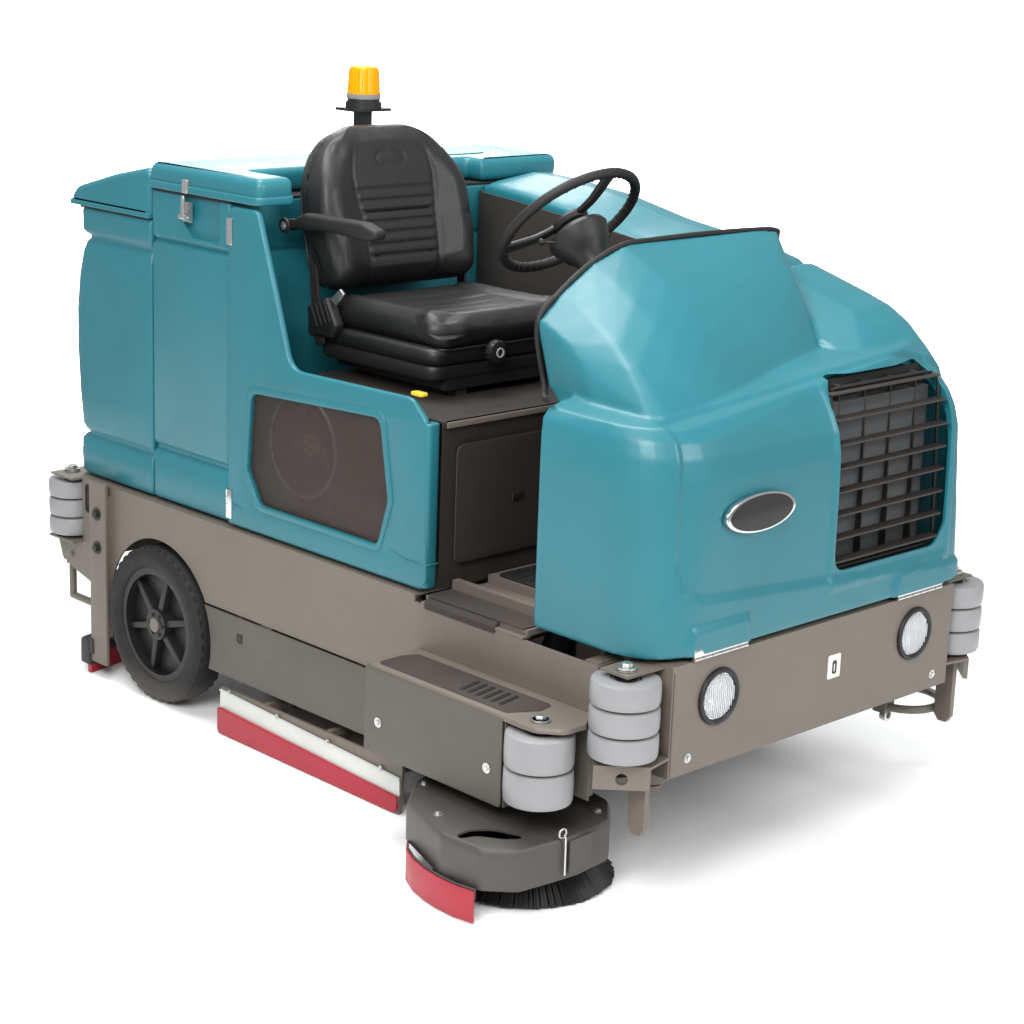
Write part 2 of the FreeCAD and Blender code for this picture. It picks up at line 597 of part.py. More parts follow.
def side_brush():
    x, y = "side_brush_x", "side_brush_y"
    post = rod("brush_pivot_post", "Z", "15", ("190", "330"), "side_pivot_x", "side_pivot_y")
    block = box("brush_pivot_block", ("side_pivot_x - 40", "side_pivot_x + 40"),
                ("side_pivot_y - 29", "side_pivot_y + 40"), ("250", "500"))
    collar = rod("brush_pivot_collar", "Z", "26", ("190", "205"), "side_pivot_x", "side_pivot_y")
    pivot = fuse("side_brush_pivot", post, block, collar)
    boss = rod("arm_boss", "Z", "36", ("213", "240"), "side_pivot_x", "side_pivot_y")
    ring = rod("arm_ring", "Z", "70", ("215", "235"), x, y)
    beam = pad("arm_beam", "XY",
               [("side_pivot_x + 14", "side_pivot_y + 24"), ("side_pivot_x - 14", "side_pivot_y - 24"),
                ("side_brush_x - 20", "side_brush_y - 34"), ("side_brush_x + 20", "side_brush_y + 34")],
               ("215", "235"))
    pins = (("side_brush_x + 58", "side_brush_y - 10"), ("side_brush_x - 20", "side_brush_y + 56"))
    bores = [rod("arm_bore_%d" % i, "Z", "6 + running", ("200", "250"), px, py) for i,
             (px, py) in enumerate(pins)]
    motor_hole = rod("arm_motor_hole", "Z", "48", ("200", "250"), x, y)
    post_hole = rod("arm_post_hole", "Z", "15 + running", ("200", "250"), "side_pivot_x", "side_pivot_y")
    node("side_brush_arm", cut("side_brush_arm", fuse("side_arm_blank", boss, ring, beam),
                               motor_hole, post_hole, *bores))
    outline = [("-856", "-666"), ("-758", "-584"), ("-646", "-549"), ("-524", "-561"), ("-440", "-757"),
               ("-481", "-971"), ("-569", "-1054"), ("-689", "-1068"), ("-761", "-1060"), ("-861", "-1050"),
               ("-922", "-986"), ("-934", "-868")]
    rim = pad("brush_housing_blank", "XY", outline, ("82", "180"))
    hollow = rod("brush_housing_hollow", "Z", "side_brush_rad - 12", ("60", "168"), x, y)
    shaft_hole = rod("brush_housing_hole", "Z", "12 + running", ("150", "190"), x, y)
    motor = rod("brush_motor", "Z", "45", ("180", "285"), x, y)
    motor_bore = rod("brush_motor_bore", "Z", "12 + running", ("179", "215"), x, y)
    guide_pins = [rod("guide_pin_%d" % i, "Z", "6", ("180", "278"), px, py) for i,
                  (px, py) in enumerate(pins)]
    housing = fuse("brush_housing_motor", cut("housing_hollowed", rim, hollow, shaft_hole),
                   cut("brush_motor_bored", motor, motor_bore), *guide_pins)
    disc = rod("brush_disc", "Z", "side_brush_rad - 20", ("72", "92"), x, y)
    bristles = cone("brush_bristles", "Z", "side_brush_rad", "side_brush_rad - 25", ("2", "72"), x, y)
    shaft = rod("brush_shaft", "Z", "12", ("92", "212"), x, y)
    node("side_brush_disc", fuse("side_brush_disc", disc, bristles, shaft))
    strip = pad("side_brush_blade", "XY",
                [("-840", "-640"), ("-862", "-662"), ("-938", "-764"), ("-968", "-873"), ("-984", "-985"),
                 ("-970", "-988"), ("-942", "-870"), ("-922", "-777"), ("-862", "-690")], ("6", "82"))
    node("side_brush_housing", group("side_brush_housing", [housing, strip]))
    return [pivot]


# ---------------------------------------------------------------- tanks and fixed shells

def solution_tank():
    tank = pad("solution_tank", "XY", rect(("-shell_half", "shell_half"), ("tank_front_y",
                                                                           "tank_split_y - 3")),
               ("shell_z", "tank_z"))
    fillet(tank, "24", lambda b: b.ZLength > 500 and b.YMin < 400)
    pocket(tank, "XY", rect(("-shell_half + 20", "shell_half - 20"),
                            ("tank_front_y + 20", "tank_split_y - 23")),
           ("shell_z + 40", "tank_z"))
    node("solution_tank", tank)


def recovery_tank():
    side = [("tank_split_y", "shell_z"), ("1108", "shell_z"), ("tail_y", "1000"), ("1087", "rear_tank_z"),
            ("tank_split_y", "rear_tank_z")]
    tank = pad("recovery_tank", "YZ", side, ("-shell_half", "shell_half"))
    fillet(tank, "45", lambda b: b.ZLength > 300 and b.XLength < 1 and b.YMin > 1080)
    pocket(tank, "XY", rect(("-shell_half + 25", "shell_half - 25"), ("tank_split_y + 20", "1060")),
           ("shell_z + 40", "rear_tank_z"))
    node("recovery_tank", tank)



def left_shell():
    """Fixed lower shell on the side away from the entry, and the cab side of the cowl."""
    panel = pad("left_side_panel", "YZ", rect(("-793", "tank_front_y - 3"), ("shell_z", "hood_z - 4")),
                ("shell_half - wall", "shell_half"))
    node("left_side_panel", panel)
    wall = pad("console_panel", "YZ",
               [("platform_y", "shell_z + 20"), ("360", "shell_z + 20"), ("360", "1430"), ("160", "1290"),
                ("-409", "1290"), ("platform_y", "1260")], ("console_x", "console_x + plate"))
    return wall


def seat_platform():
    shape = [("platform_y", "shell_z"), ("platform_y + 6", "shell_z"), ("platform_y + 6", "platform_z - 6"),
             ("200", "platform_z - 6"), ("200", "platform_z"), ("platform_y - 8", "platform_z"),
             ("platform_y - 8", "platform_z - 14"), ("platform_y", "platform_z - 14")]
    shelf = pad("seat_platform", "YZ", shape, ("-556", "console_x + 1"))
    legs = [box("platform_leg_%d" % i, (x, "%s + 40" % x), ("196", "236"), ("deck_z", "platform_z - 6"))
            for i, x in enumerate(("-400", "200"))]
    rails = [box("seat_rail_%d" % i, ("seat_x + %d" % (s * 150 - 15), "seat_x + %d" % (s * 150 + 15)),
                 ("-225", "175"), ("platform_z", "platform_z + 20")) for i, s in enumerate((-1, 1))]
    node("cab_bulkhead", fuse("cab_bulkhead", shelf, left_shell(), *(legs + rails)))


def footwell():
    step = pad("entry_step", "XZ",
               [("-622", "557"), ("-622", "563"), ("-606", "563"), ("-606", "576"), ("-520", "576"),
                ("-520", "600"), ("-500", "600"), ("-500", "584"), ("-512", "584"), ("-512", "562"),
                ("-598", "562"), ("-598", "557")], ("-795", "-440"))
    fixed = box("entry_floor", ("-512", "150"), ("-1020", "platform_y - 2"), ("561", "568"))
    raised = box("entry_tunnel", ("-400", "150"), ("-1020", "platform_y - 10"), ("568", "592"))
    ribs = [box("tread_%d" % i, ("-604 + %d" % (i * 13), "-597 + %d" % (i * 13)), ("-785", "-450"),
                ("576", "578.5")) for i in range(6)]
    node("footwell_floor", fuse("footwell_floor", step, fixed, raised, *ribs))


def engine_bay():
    block = box("engine_block", ("-330", "80"), ("-300", "40"), ("600", "850"))
    head = box("engine_head", ("-300", "50"), ("-260", "0"), ("850", "930"))
    pieces = [fuse("engine", block, head)]
    frame = box("radiator_frame", ("60", "460"), ("-1110", "-1070"), ("650", "1090"))
    pieces += [frame, box("battery", ("330", "520"), ("-300", "-60"), ("deck_z", "790"))]
    ring = tube("fan_ring", "X", "150", "134", ("-540", "-480"), "109", "835")
    stand = box("fan_stand", ("-530", "-490"), ("89", "129"), ("deck_z", "690"))
    motor = rod("fan_motor", "X", "40", ("-470", "-420"), "109", "835")
    spine = rod("fan_spine", "X", "8", ("-528", "-420"), "109", "835")
    strut = box("fan_strut", ("-470", "-440"), ("99", "119"), ("690", "800"))
    foot = box("fan_strut_foot", ("-530", "-440"), ("99", "119"), ("650", "690"))
    can = rod("vacuum_can", "Z", "80", ("1100", "1300"), "330", "900")
    hose = rod("vacuum_hose", "Z", "28", ("621", "1110"), "330", "900")
    pieces += [fuse("fan_ring", ring, stand, motor, spine, strut, foot), fuse("vacuum_unit", can, hose)]
    node("power_unit", group("power_unit", pieces))
    hub = tube("fan_hub", "X", "34", "8 + running", ("-524", "-490"), "109", "835")
    blades = []
    for i in range(3):
        bar = doc.addObject("Part::Box", "fan_blade_%d" % i)
        bind(bar, "Length", "8")
        bind(bar, "Width", "34")
        bind(bar, "Height", "256")
        turn = math.radians(60 * i)
        bar.Placement.Rotation = FreeCAD.Rotation(FreeCAD.Vector(1, 0, 0), math.degrees(turn))
        place(bar, "-511", "109 + %.4f" % (-17 * math.cos(turn) + 128 * math.sin(turn)),
              "835 + %.4f" % (-17 * math.sin(turn) - 128 * math.cos(turn)))
        blades.append(bar)
    clear = rod("fan_clear", "X", "8 + running", ("-540", "-480"), "109", "835")
    node("cooling_fan", cut("cooling_fan", fuse("fan_blank", hub, *blades), clear))


# ---------------------------------------------------------------- moving covers

def shroud_body(name, inset, low):
    """Outer or inner form of the nose: a side profile across the machine plus the dash cowl."""
    side = [("-797 + %s" % inset, low), ("nose_y + %s" % inset, low), ("nose_y + %s" % inset, "1030"),
            ("-1150 + %s" % inset, "1120 - %s" % inset), ("-1026 + %s" % inset, "1202 - %s" % inset),
            ("-797 + %s" % inset, "1202 - %s" % inset)]
    nose = pad(name + "_nose", "YZ", side, ("-shell_half + %s" % inset, "shell_half - %s" % inset))
    fillet(nose, "170 - %s" % inset,
           lambda b: b.ZLength > 300 and b.XLength < 1 and b.YLength < 1 and b.YMax < -1150)
    rim = [("-425 + %s" % inset, "1100"), ("-464 + %s" % inset, "1274 - %s" % inset),
           ("-387 + %s" % inset, "1335 - %s" % inset), ("-289 + %s" % inset, "1394 - %s" % inset),
           ("-181 + %s" % inset, "1432 - %s" % inset), ("397 - %s" % inset, "1432 - %s" % inset),
           ("590 - %s" % inset, "1340 - %s" % inset), ("590 - %s" % inset, "1100")]
    cowl = pad(name + "_cowl", "XZ", rim, ("-1100 + %s" % inset, "-642"))
    slope = [("-1110", "1170 - %s" % inset), ("-1026", "1180 - %s" % inset), ("-660", "1432 - %s" % inset),
             ("-660", "1500"), ("-1110", "1500")]
    pocket(cowl, "YZ", slope, ("-650", "650"))
    return fuse(name, nose, cowl)


def front_shroud():
    outer = shroud_body("shroud_outer", "0", "585")
    inner = shroud_body("shroud_inner", "wall", "570")
    back = box("shroud_back", ("-shell_half + wall", "shell_half - wall"), ("-900", "-640"),
               ("570", "1100"))
    mouth = pad("shroud_mouth", "XZ",
                [("-417", "1100"), ("-456", "1266"), ("-379", "1325"), ("-289", "1384"), ("-181", "1424"),
                 ("397", "1424"), ("582", "1332"), ("582", "1100")], ("-660", "-630"))
    grille = box("grille_mouth", ("20", "480"), ("nose_y - 10", "nose_y + 90"), ("675", "1150"))
    trimmed = cut("front_shroud", outer, inner, back, mouth, grille)
    node("front_shroud", trimmed)
    bars = [box("louvre_%d" % i, ("20.5", "479.5"), ("nose_y - 4", "nose_y + 40"),
                ("720 + %d" % (i * 60), "727 + %d" % (i * 60))) for i in range(7)]
    sides = [box("grille_side_%d" % i, (a, b), ("nose_y + 8", "nose_y + 60"), ("676", "1149"))
             for i, (a, b) in enumerate((("20.5", "26"), ("474", "479.5")))]
    louvres = fuse("grille_louvres", *(bars + sides))
    slats = [box("slat_%d" % i, ("%d" % (45 + 44 * i), "%d" % (49 + 44 * i)),
                 ("nose_y + 41", "nose_y + 60"),
                 ("686", "1139")) for i in range(10)]
    ties = [box("slat_tie_%d" % i, ("26", "474"), ("nose_y + 50", "nose_y + 54"), (z, "%s + 10" % z))
            for i, z in enumerate(("676", "1139"))]
    node("front_grille", group("front_grille", [louvres, fuse("grille_slats", *(slats + ties))]))
    oval = doc.addObject("Part::Ellipsoid", "badge_blank")
    bind(oval, "Radius1", "52")
    bind(oval, "Radius2", "130")
    bind(oval, "Radius3", "6")
    place(oval, "-266", "nose_y", "893")
    oval_cut = box("badge_back", ("-420", "-110"), ("nose_y", "nose_y + 20"), ("820", "970"))
    badge = cut("oval_badge", oval, oval_cut)
    strips = []
    for i, side in enumerate((-1, 1)):
        reach = ("%d * 380 - 94" % side, "%d * 380 + 94" % side)
        leaf = box("shroud_hinge_leaf_%d" % i, reach, ("nose_y - 5", "nose_y"), ("585", "604"))
        barrel = rod("shroud_hinge_barrel_%d" % i, "X", "4.5", reach, "nose_y - 5", "581")
        strips.append(fuse("shroud_hinge_%d" % i, leaf, barrel))
    node("shroud_fittings", group("shroud_fittings", [badge] + strips))


def left_hood():
    side = [("-636", "hood_z"), ("360", "hood_z"), ("360", "1473"), ("16", "1447"), ("-214", "1402"),
            ("-503", "1368"), ("-636", "1334")]
    hood = pad("left_hood_blank", "YZ", side, ("console_x + plate + 2", "cover_hinge_x - 4"))
    fillet(hood, "60", lambda b: b.YLength > 180 and b.ZMin > 1290 and b.XMin > 590
           and b.XLength < 1)
    inside = [("-628", "hood_z"), ("352", "hood_z"), ("352", "1459"), ("16", "1433"), ("-214", "1388"),
              ("-503", "1354"), ("-628", "1320")]
    pocket(hood, "YZ", inside, ("console_x + plate + 10", "cover_hinge_x - 36"))
    knuckles = [rod("hood_knuckle_%d" % i, "Y", "7", (a, "%s + 60" % a), "606", "hood_z")
                for i, a in enumerate(("-520", "200"))]
    node("left_hood", fuse("left_hood", hood, *knuckles))


def lids():
    outline = [("-602", "240"), ("-484", "240"), ("-484", "430"), ("296", "430"), ("296", "364"),
               ("602", "364"), ("602", "713"), ("-602", "713")]
    lid = pad("middle_lid_blank", "XY", outline, ("tank_z + 6", "lid_top_z"))
    fillet(lid, "20", lambda b: b.ZMin > 1510 and b.XMax < -595)
    pocket(lid, "XY", rect(("-590", "590"), ("442", "701")), ("tank_z + 6", "lid_top_z - wall"))
    side = [("719", "rear_tank_z + 6"), ("719", "1505"), ("740", "1498"), ("900", "1462"), ("1084", "1410"),
            ("1104", "1385"), ("1104", "rear_tank_z + 6")]
    rear = pad("rear_lid_blank", "YZ", side, ("-602", "602"))
    hollow = [("729", "rear_tank_z + 6"), ("729", "1491"), ("740", "1486"), ("900", "1450"),
              ("1078", "1400"),
              ("1092", "1381"), ("1092", "rear_tank_z + 6")]
    pocket(rear, "YZ", hollow, ("-590", "590"))
    knuckles = [rod("rear_lid_knuckle_%d" % i, "Y", "5", (a, "%s + 60" % a), "606", "rear_tank_z + 4")
                for i, a in enumerate(("770", "960"))]
    node("rear_lid", fuse("rear_lid", rear, *knuckles))
    plate = box("latch_plate", ("-612", "-602"), ("531", "555"), ("tank_z + 8", "1482"))
    knuckles = [rod("middle_lid_knuckle_%d" % i, "Y", "5", (a, "%s + 60" % a), "606", "tank_z + 6")
                for i, a in enumerate(("450", "620"))]
    node("middle_lid", fuse("middle_lid", lid, plate, *knuckles))
    catch = box("latch_catch", ("-606", "-shell_half"), ("525", "561"), ("1372", "1425"))
    pin = rod("latch_pin", "Y", "4", ("521", "565"), "-614", "1385")
    lugs = [box("latch_lug_%d" % i, ("-620", "-606"), (a, b), ("1378", "1392"))
            for i, (a, b) in enumerate((("523", "529"), ("557", "563")))]
    base = fuse("lid_latch_base", catch, pin, *lugs)
    lever = box("latch_lever", ("-621", "-615"), ("532", "554"), ("1380", "1443"))
    knuckle = rod("latch_knuckle", "Y", "7.5", ("532", "554"), "-614", "1385")
    bore = rod("latch_bore", "Y", "4 + running", ("530", "556"), "-614", "1385")
    node("lid_latch_lever", cut("lid_latch_lever", fuse("latch_blank", lever, knuckle), bore))
    return [base]


def side_door():
    outline = [("360", "583"), ("360", "1436"), ("227", "1436"), ("150", "1218"), ("94", "1040"),
               ("-375", "1055"), ("-424", "1010"), ("-437", "601"), ("-414", "583")]
    door = pad("side_door_blank", "YZ", outline, ("-606", "-566"))
    hollow = [("350", "594"), ("350", "1424"), ("235", "1424"), ("160", "1210"), ("101", "1028"),
              ("-370", "1043"), ("-412", "1004"), ("-425", "606"), ("-410", "594")]
    pocket(door, "YZ", hollow, ("-598", "-565"))
    window = [("256", "958"), ("-259", "985"), ("-295", "785"), ("-258", "661"), ("220", "662"),
              ("272", "747")]
    pocket(door, "YZ", window, ("-607", "-597"))
    mesh = [("266", "966"), ("-266", "994"), ("-304", "785"), ("-264", "652"), ("226", "652"),
            ("282", "745")]
    node("window_screen", pad("window_screen", "YZ", mesh, ("-598", "-595")))
    leaves = []
    for i, (a, b) in enumerate((("600", "680"), ("1335", "1406"))):
        leaves.append(box("door_hinge_%d" % i, ("-611", "-606"), ("338", "358"), (a, b)))
        leaves.append(rod("door_knuckle_%d" % i, "Z", "4", (a, b), "-610", "358"))
    node("side_door", fuse("side_door", door, *leaves))
    base = rod("latch_boss", "Z", "14", ("1055", "1059"), "-586", "-360")
    pull = box("latch_pull", ("-600", "-572"), ("-398", "-352"), ("1059", "1068"))
    node("door_latch_handle", fuse("door_latch_handle", base, pull))


def brush_doors():
    outline = [("503", "door_top_z - 3"), ("-321", "door_top_z - 3"), ("-326", "skirt_z + 2"),
               ("420", "skirt_z + 2")]
    plate = pad("brush_door_blank", "YZ", outline, ("-626", "-620.5"))
    arch = rod("door_arch", "X", "arch_rad", ("-640", "-610"), "rear_axle_y", "wheel_rad")
    latch = box("door_latch_hole", ("-640", "-610"), ("268", "292"), ("268", "292"))
    knuckles = [rod("brush_door_knuckle_%d" % i, "Z", "4", (a, "%s + 40" % a), "-625", "-326")
                for i, a in enumerate(("skirt_z + 20", "door_top_z - 60"))]
    shape = cut("brush_door", fuse("brush_door_leaf", plate, *knuckles), arch, latch)
    both_sides("right_brush_door", "left_brush_door", shape)


# ---------------------------------------------------------------- cab

def seat():
    node("seat_lower_pan", box("seat_lower_pan", ("seat_x - 215", "seat_x + 215"), ("-235", "195"),
                               ("platform_z + 21", "platform_z + 55")))
    pan = box("seat_pan", ("seat_x - 235", "seat_x + 235"), ("-250", "205"), ("platform_z + 78", "1122"))
    ears = [box("recline_ear_%d" % i, ("seat_x + %d" % a, "seat_x + %d" % (a + 8)), ("160", "262"),
                ("1090", "1160")) for i, a in enumerate((-277, 269))]
    straps = [box("recline_strap_%d" % i, ("seat_x + %d" % a, "seat_x + %d" % b), ("165", "200"),
                  ("1090", "1120")) for i, (a, b) in enumerate(((-277, -230), (230, 277)))]
    pins = [rod("recline_pin_%d" % i, "X", "10", ("seat_x + %d" % a, "seat_x + %d" % b), "222", "1130")
            for i, (a, b) in enumerate(((-277, -245), (245, 277)))]
    buckle = box("buckle_head", ("seat_x - 275", "seat_x - 257"), ("60", "110"), ("1165", "1270"))
    stalk = box("buckle_stalk", ("seat_x - 275", "seat_x - 269"), ("60", "100"), ("1080", "1165"))
    root = box("buckle_root", ("seat_x - 275", "seat_x - 235"), ("60", "100"), ("1080", "1092"))
    node("seat_frame", fuse("seat_frame", pan, buckle, stalk, root, *(ears + straps + pins)))
    cushion = pad("seat_cushion", "XY", rect(("seat_x - seat_half", "seat_x + seat_half"), ("-255", "200")),
                  ("1123", "cushion_top_z"))
    fillet(cushion, "24", lambda b: b.ZMin > 1180)
    pocket(cushion, "XY", rect(("seat_x - 260", "seat_x - 226"), ("150", "210")), ("1122", "1195"))
    pocket(cushion, "XY", rect(("seat_x + 226", "seat_x + 260"), ("150", "210")), ("1122", "1195"))
    node("seat_cushion", cushion)
    back = pad("backrest_pad", "YZ",
               [("158", "1228"), ("262", "1590"), ("300", "1636"), ("345", "1640"), ("372", "1600"),
                ("268", "1240"), ("250", "1210"), ("176", "1218")], ("seat_x - 262", "seat_x + 262"))
    fillet(back, "30", lambda b: b.ZMin > 1500 and b.XLength < 1 and b.ZLength < 10)
    plates = []
    for i, a in enumerate((-266, 259)):
        arm = box("back_arm_%d" % i, ("seat_x + %d" % a, "seat_x + %d" % (a + 7)), ("206", "240"),
                  ("1118", "1208"))
        hole = rod("back_hole_%d" % i, "X", "10 + running",
                   ("seat_x + %d" % (a - 2), "seat_x + %d" % (a + 9)),
                   "222", "1130")
        plates.append(cut("back_plate_%d" % i, arm, hole))
    pad_bar = pad("armrest_blank", "YZ",
                  [("296", "1364"), ("306", "1392"), ("272", "1420"), ("-54", "1422"), ("-72", "1406"),
                   ("-50", "1380"), ("180", "1372")], ("seat_x - 322", "seat_x - 275"))
    boss = rod("armrest_boss", "X", "22", ("seat_x - 322", "seat_x - 275"), "290", "1384")
    hole = rod("armrest_hole", "X", "10 + running", ("seat_x - 330", "seat_x - 270"), "290", "1384")
    node("armrest", cut("armrest", fuse("armrest_form", pad_bar, boss), hole))
    pivot = rod("armrest_pin", "X", "10", ("seat_x - 326", "seat_x - 262"), "290", "1384")
    link = box("armrest_link", ("seat_x - 268", "seat_x - 262"), ("262", "308"), ("1370", "1398"))
    node("seat_backrest", group("seat_backrest", [back, fuse("armrest_mount", pivot, link)] + plates))
    knob = rod("knob_grip", "Y", "31", ("-283", "-262"), "-233", "1112")
    stem = rod("knob_stem", "Y", "6", ("-262", "-251"), "-233", "1112")
    node("weight_knob", fuse("weight_knob", knob, stem))


def dash():
    board = pad("dash_panel_blank", "XZ",
                [("-412", "1110"), ("-450", "1262"), ("-375", "1320"), ("-278", "1378"), ("-181", "1408"),
                 ("385", "1408"), ("574", "1322"), ("574", "1110")], ("-672", "-664"))
    beam = box("dash_beam", ("-405", "560"), ("-712", "-672"), ("1085", "1125"))
    left_post = box("dash_post_left", ("524", "556"), ("-712", "-672"), ("deck_z", "1085"))
    right_post = box("dash_post_right", ("-580", "-548"), ("-850", "-818"), ("deck_z", "1125"))
    right_arm = box("dash_arm_right", ("-580", "-380"), ("-850", "-818"), ("1085", "1125"))
    right_rail = box("dash_rail_right", ("-405", "-380"), ("-850", "-672"), ("1085", "1125"))
    ears = [box("column_ear_%d" % i, ("seat_x + %d" % a, "seat_x + %d" % (a + 14)), ("-664", "-562"),
                ("1290", "1338")) for i, a in enumerate((-40, 26))]
    pin = rod("column_pin", "X", "9", ("seat_x - 40", "seat_x + 40"), "tilt_y", "tilt_z")
    pod = pad("instrument_pod", "YZ", [("-664", "1380"), ("-664", "1290"), ("-640", "1280"),
                                       ("-560", "1300"),
                                       ("-590", "1372")], ("-40", "170"))
    node("dash_panel", fuse("dash_panel", board, beam, left_post, right_post, right_arm,
                            right_rail, pod, pin, *ears))


def steering():
    """Tilting column, wheel and horn button, built upright and then leaned towards the seat."""
    mx, my = "-mid_x", "-mid_y"
    trunk = rod("column_trunk", "Z", "30", ("40", "170"), mx, my)
    yoke = box("column_yoke", ("-mid_x - 22", "-mid_x + 22"), ("-mid_y - 16", "-mid_y + 16"), ("-16", "44"))
    bowl = cone("column_bowl", "Z", "46", "78", ("110", "168"), mx, my)
    spindle = rod("column_spindle", "Z", "10", ("170", "190"), mx, my)
    hole = rod("column_hole", "X", "9 + running", ("-mid_x - 40", "-mid_x + 40"), my, "0")
    column = cut("steering_column", fuse("column_blank", trunk, yoke, bowl, spindle), hole)
    node("steering_column", lean(column, "seat_x", "tilt_y", "tilt_z", "column_lean"))
    rim = torus("wheel_rim", "steer_wheel_rad", "13", mx, my, "0")
    hub = rod("wheel_hub", "Z", "44", ("-24", "4"), mx, my)
    spokes = []
    for i in range(3):
        bar = rod("wheel_spoke_%d" % i, "X", "8", ("0", "steer_wheel_rad - 3"), "0", "0")
        bar.Placement.Rotation = FreeCAD.Rotation(FreeCAD.Vector(0, 0, 1), 120 * i - 90).multiply(TURN["X"])
        place(bar, mx, my, "-5")
        spokes.append(bar)
    bore = rod("wheel_bore", "Z", "10 + running", ("-26", "-8"), mx, my)
    button_well = rod("wheel_well", "Z", "27", ("-6", "10"), mx, my)
    wheel_solid = cut("steering_wheel", fuse("wheel_blank", rim, hub, *spokes), bore, button_well)
    node("steering_wheel", lean(wheel_solid, "seat_x", "steer_y", "steer_z", "column_lean"))
    button = rod("horn_button", "Z", "26.5", ("-2", "9"), mx, my)
    node("horn_button", lean(button, "seat_x", "steer_y", "steer_z", "column_lean"))


def pedals():
    for label, x in (("accelerator_pedal", "-40"), ("brake_pedal", "-250")):
        plate = pad(label + "_plate", "YZ", [("-985", "672"), ("-975", "664"), ("-922", "626"),
                                             ("-916", "634"),
                                             ("-972", "690")], ("%s - 38" % x, "%s + 38" % x))
        neck = pad(label + "_neck", "YZ", [("-930", "630"), ("-905", "606"), ("-896", "620"),
                                           ("-924", "640")],
                   ("%s - 18" % x, "%s + 18" % x))
        ring = rod(label + "_boss", "X", "13", ("%s - 20" % x, "%s + 20" % x), "-900", "612")
        hole = rod(label + "_hole", "X", "6 + running", ("%s - 60" % x, "%s + 60" % x), "-900", "612")
        node(label, cut(label, fuse(label + "_blank", plate, neck, ring), hole))
    hinges = []
    for i, x in enumerate(("-40", "-250")):
        pin = rod("pedal_pin_%d" % i, "X", "6", ("%s - 34" % x, "%s + 34" % x), "-900", "612")
        ears = [box("pedal_ear_%d_%d" % (i, j), ("%s + %d" % (x, a), "%s + %d" % (x, a + 10)),
                    ("-909", "-891"),
                    ("592", "620")) for j, a in enumerate((-34, 24))]
        hinges.append(fuse("pedal_hinge_%d" % i, pin, *ears))
    return hinges


def beacon():
    mast = box("beacon_mast_tube", ("beacon_x - 20", "beacon_x + 20"), ("436", "468"),
               ("lid_top_z", "1656"))
    foot = box("beacon_foot", ("beacon_x - 50", "beacon_x + 50"), ("432", "500"),
               ("lid_top_z", "lid_top_z + 6"))
    plate = box("beacon_plate", ("beacon_x - 62", "beacon_x + 62"), ("404", "496"), ("1656", "1664"))
    node("beacon_mast", fuse("beacon_mast", mast, foot, plate, rod("beacon_pad", "Z", "50",
                                                                   ("1664",
                                                                    "1680"), "beacon_x", "beacon_y"),
                             rod("beacon_ring", "Z", "45", ("1680", "1700"), "beacon_x", "beacon_y")))
    node("beacon_lens", cone("beacon_lens", "Z", "46", "39", ("1700", "1778"), "beacon_x", "beacon_y"))


# ---------------------------------------------------------------- assembly

main_frame()
front_corner_plates()
step_box()
rollers()
headlights()
wheels()
scrub_head()
fittings = corner_legs() + rear_guards() + front_tube_loop() + head_guides()
fittings += side_squeegees() + rear_squeegee() + side_brush()
node("frame_fittings", group("frame_fittings", fittings))
solution_tank()
recovery_tank()
seat_platform()
footwell()
engine_bay()
front_shroud()
left_hood()
small_mounts = lids() + pedals()
node("latch_and_pedal_mounts", group("latch_and_pedal_mounts", small_mounts))
side_door()
brush_doors()
seat()
dash()
steering()
beacon()
doc.recompute()

bad = [obj.Name for obj in doc.Objects if {"Invalid", "Error"} & set(obj.State)]
if bad:
    raise RuntimeError("features that did not compute: " + ", ".join(bad))
for part in NODES:
    if part.Shape.isNull() or not part.Shape.isValid() or not part.Shape.Solids:
        raise RuntimeError("no valid solid in " + part.Label)

for part in NODES:
    part.Shape.exportStep("parts/%s.step" % part.Label)
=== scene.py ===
"""The looks of a ride-on floor scrubber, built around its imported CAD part."""

import math
import random

import bmesh
import bpy
from mathutils import Matrix, Vector, noise


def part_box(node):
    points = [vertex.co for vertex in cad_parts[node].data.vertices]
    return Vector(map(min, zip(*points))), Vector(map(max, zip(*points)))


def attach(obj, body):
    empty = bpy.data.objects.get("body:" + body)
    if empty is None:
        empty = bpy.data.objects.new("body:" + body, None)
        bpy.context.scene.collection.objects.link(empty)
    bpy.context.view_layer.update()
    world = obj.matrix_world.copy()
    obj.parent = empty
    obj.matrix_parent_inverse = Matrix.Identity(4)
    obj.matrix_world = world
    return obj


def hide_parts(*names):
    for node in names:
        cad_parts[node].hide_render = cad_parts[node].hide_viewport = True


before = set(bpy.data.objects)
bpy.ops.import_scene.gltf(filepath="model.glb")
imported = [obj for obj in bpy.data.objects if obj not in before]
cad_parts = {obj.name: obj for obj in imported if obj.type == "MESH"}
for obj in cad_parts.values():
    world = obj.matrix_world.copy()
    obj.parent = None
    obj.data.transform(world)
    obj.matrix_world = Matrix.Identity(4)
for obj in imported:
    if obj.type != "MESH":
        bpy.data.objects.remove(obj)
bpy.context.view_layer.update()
random.seed(7)

# The part is drawn in millimetres from the machine's centre plane: the rear axle's middle is at x 0, y 659.
AXLE_LOW, AXLE_HIGH = (Vector(corner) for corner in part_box("rear_axle"))
ORIGIN = Vector(((AXLE_LOW.x + AXLE_HIGH.x) / 2, (AXLE_LOW.y + AXLE_HIGH.y) / 2 - 0.659, 0))


# ---------------------------------------------------------------- places and meshes

def P(x, y, z):
    """A point given in machine millimetres, as metres in the part's frame."""
    return ORIGIN + Vector((x, y, z)) / 1000


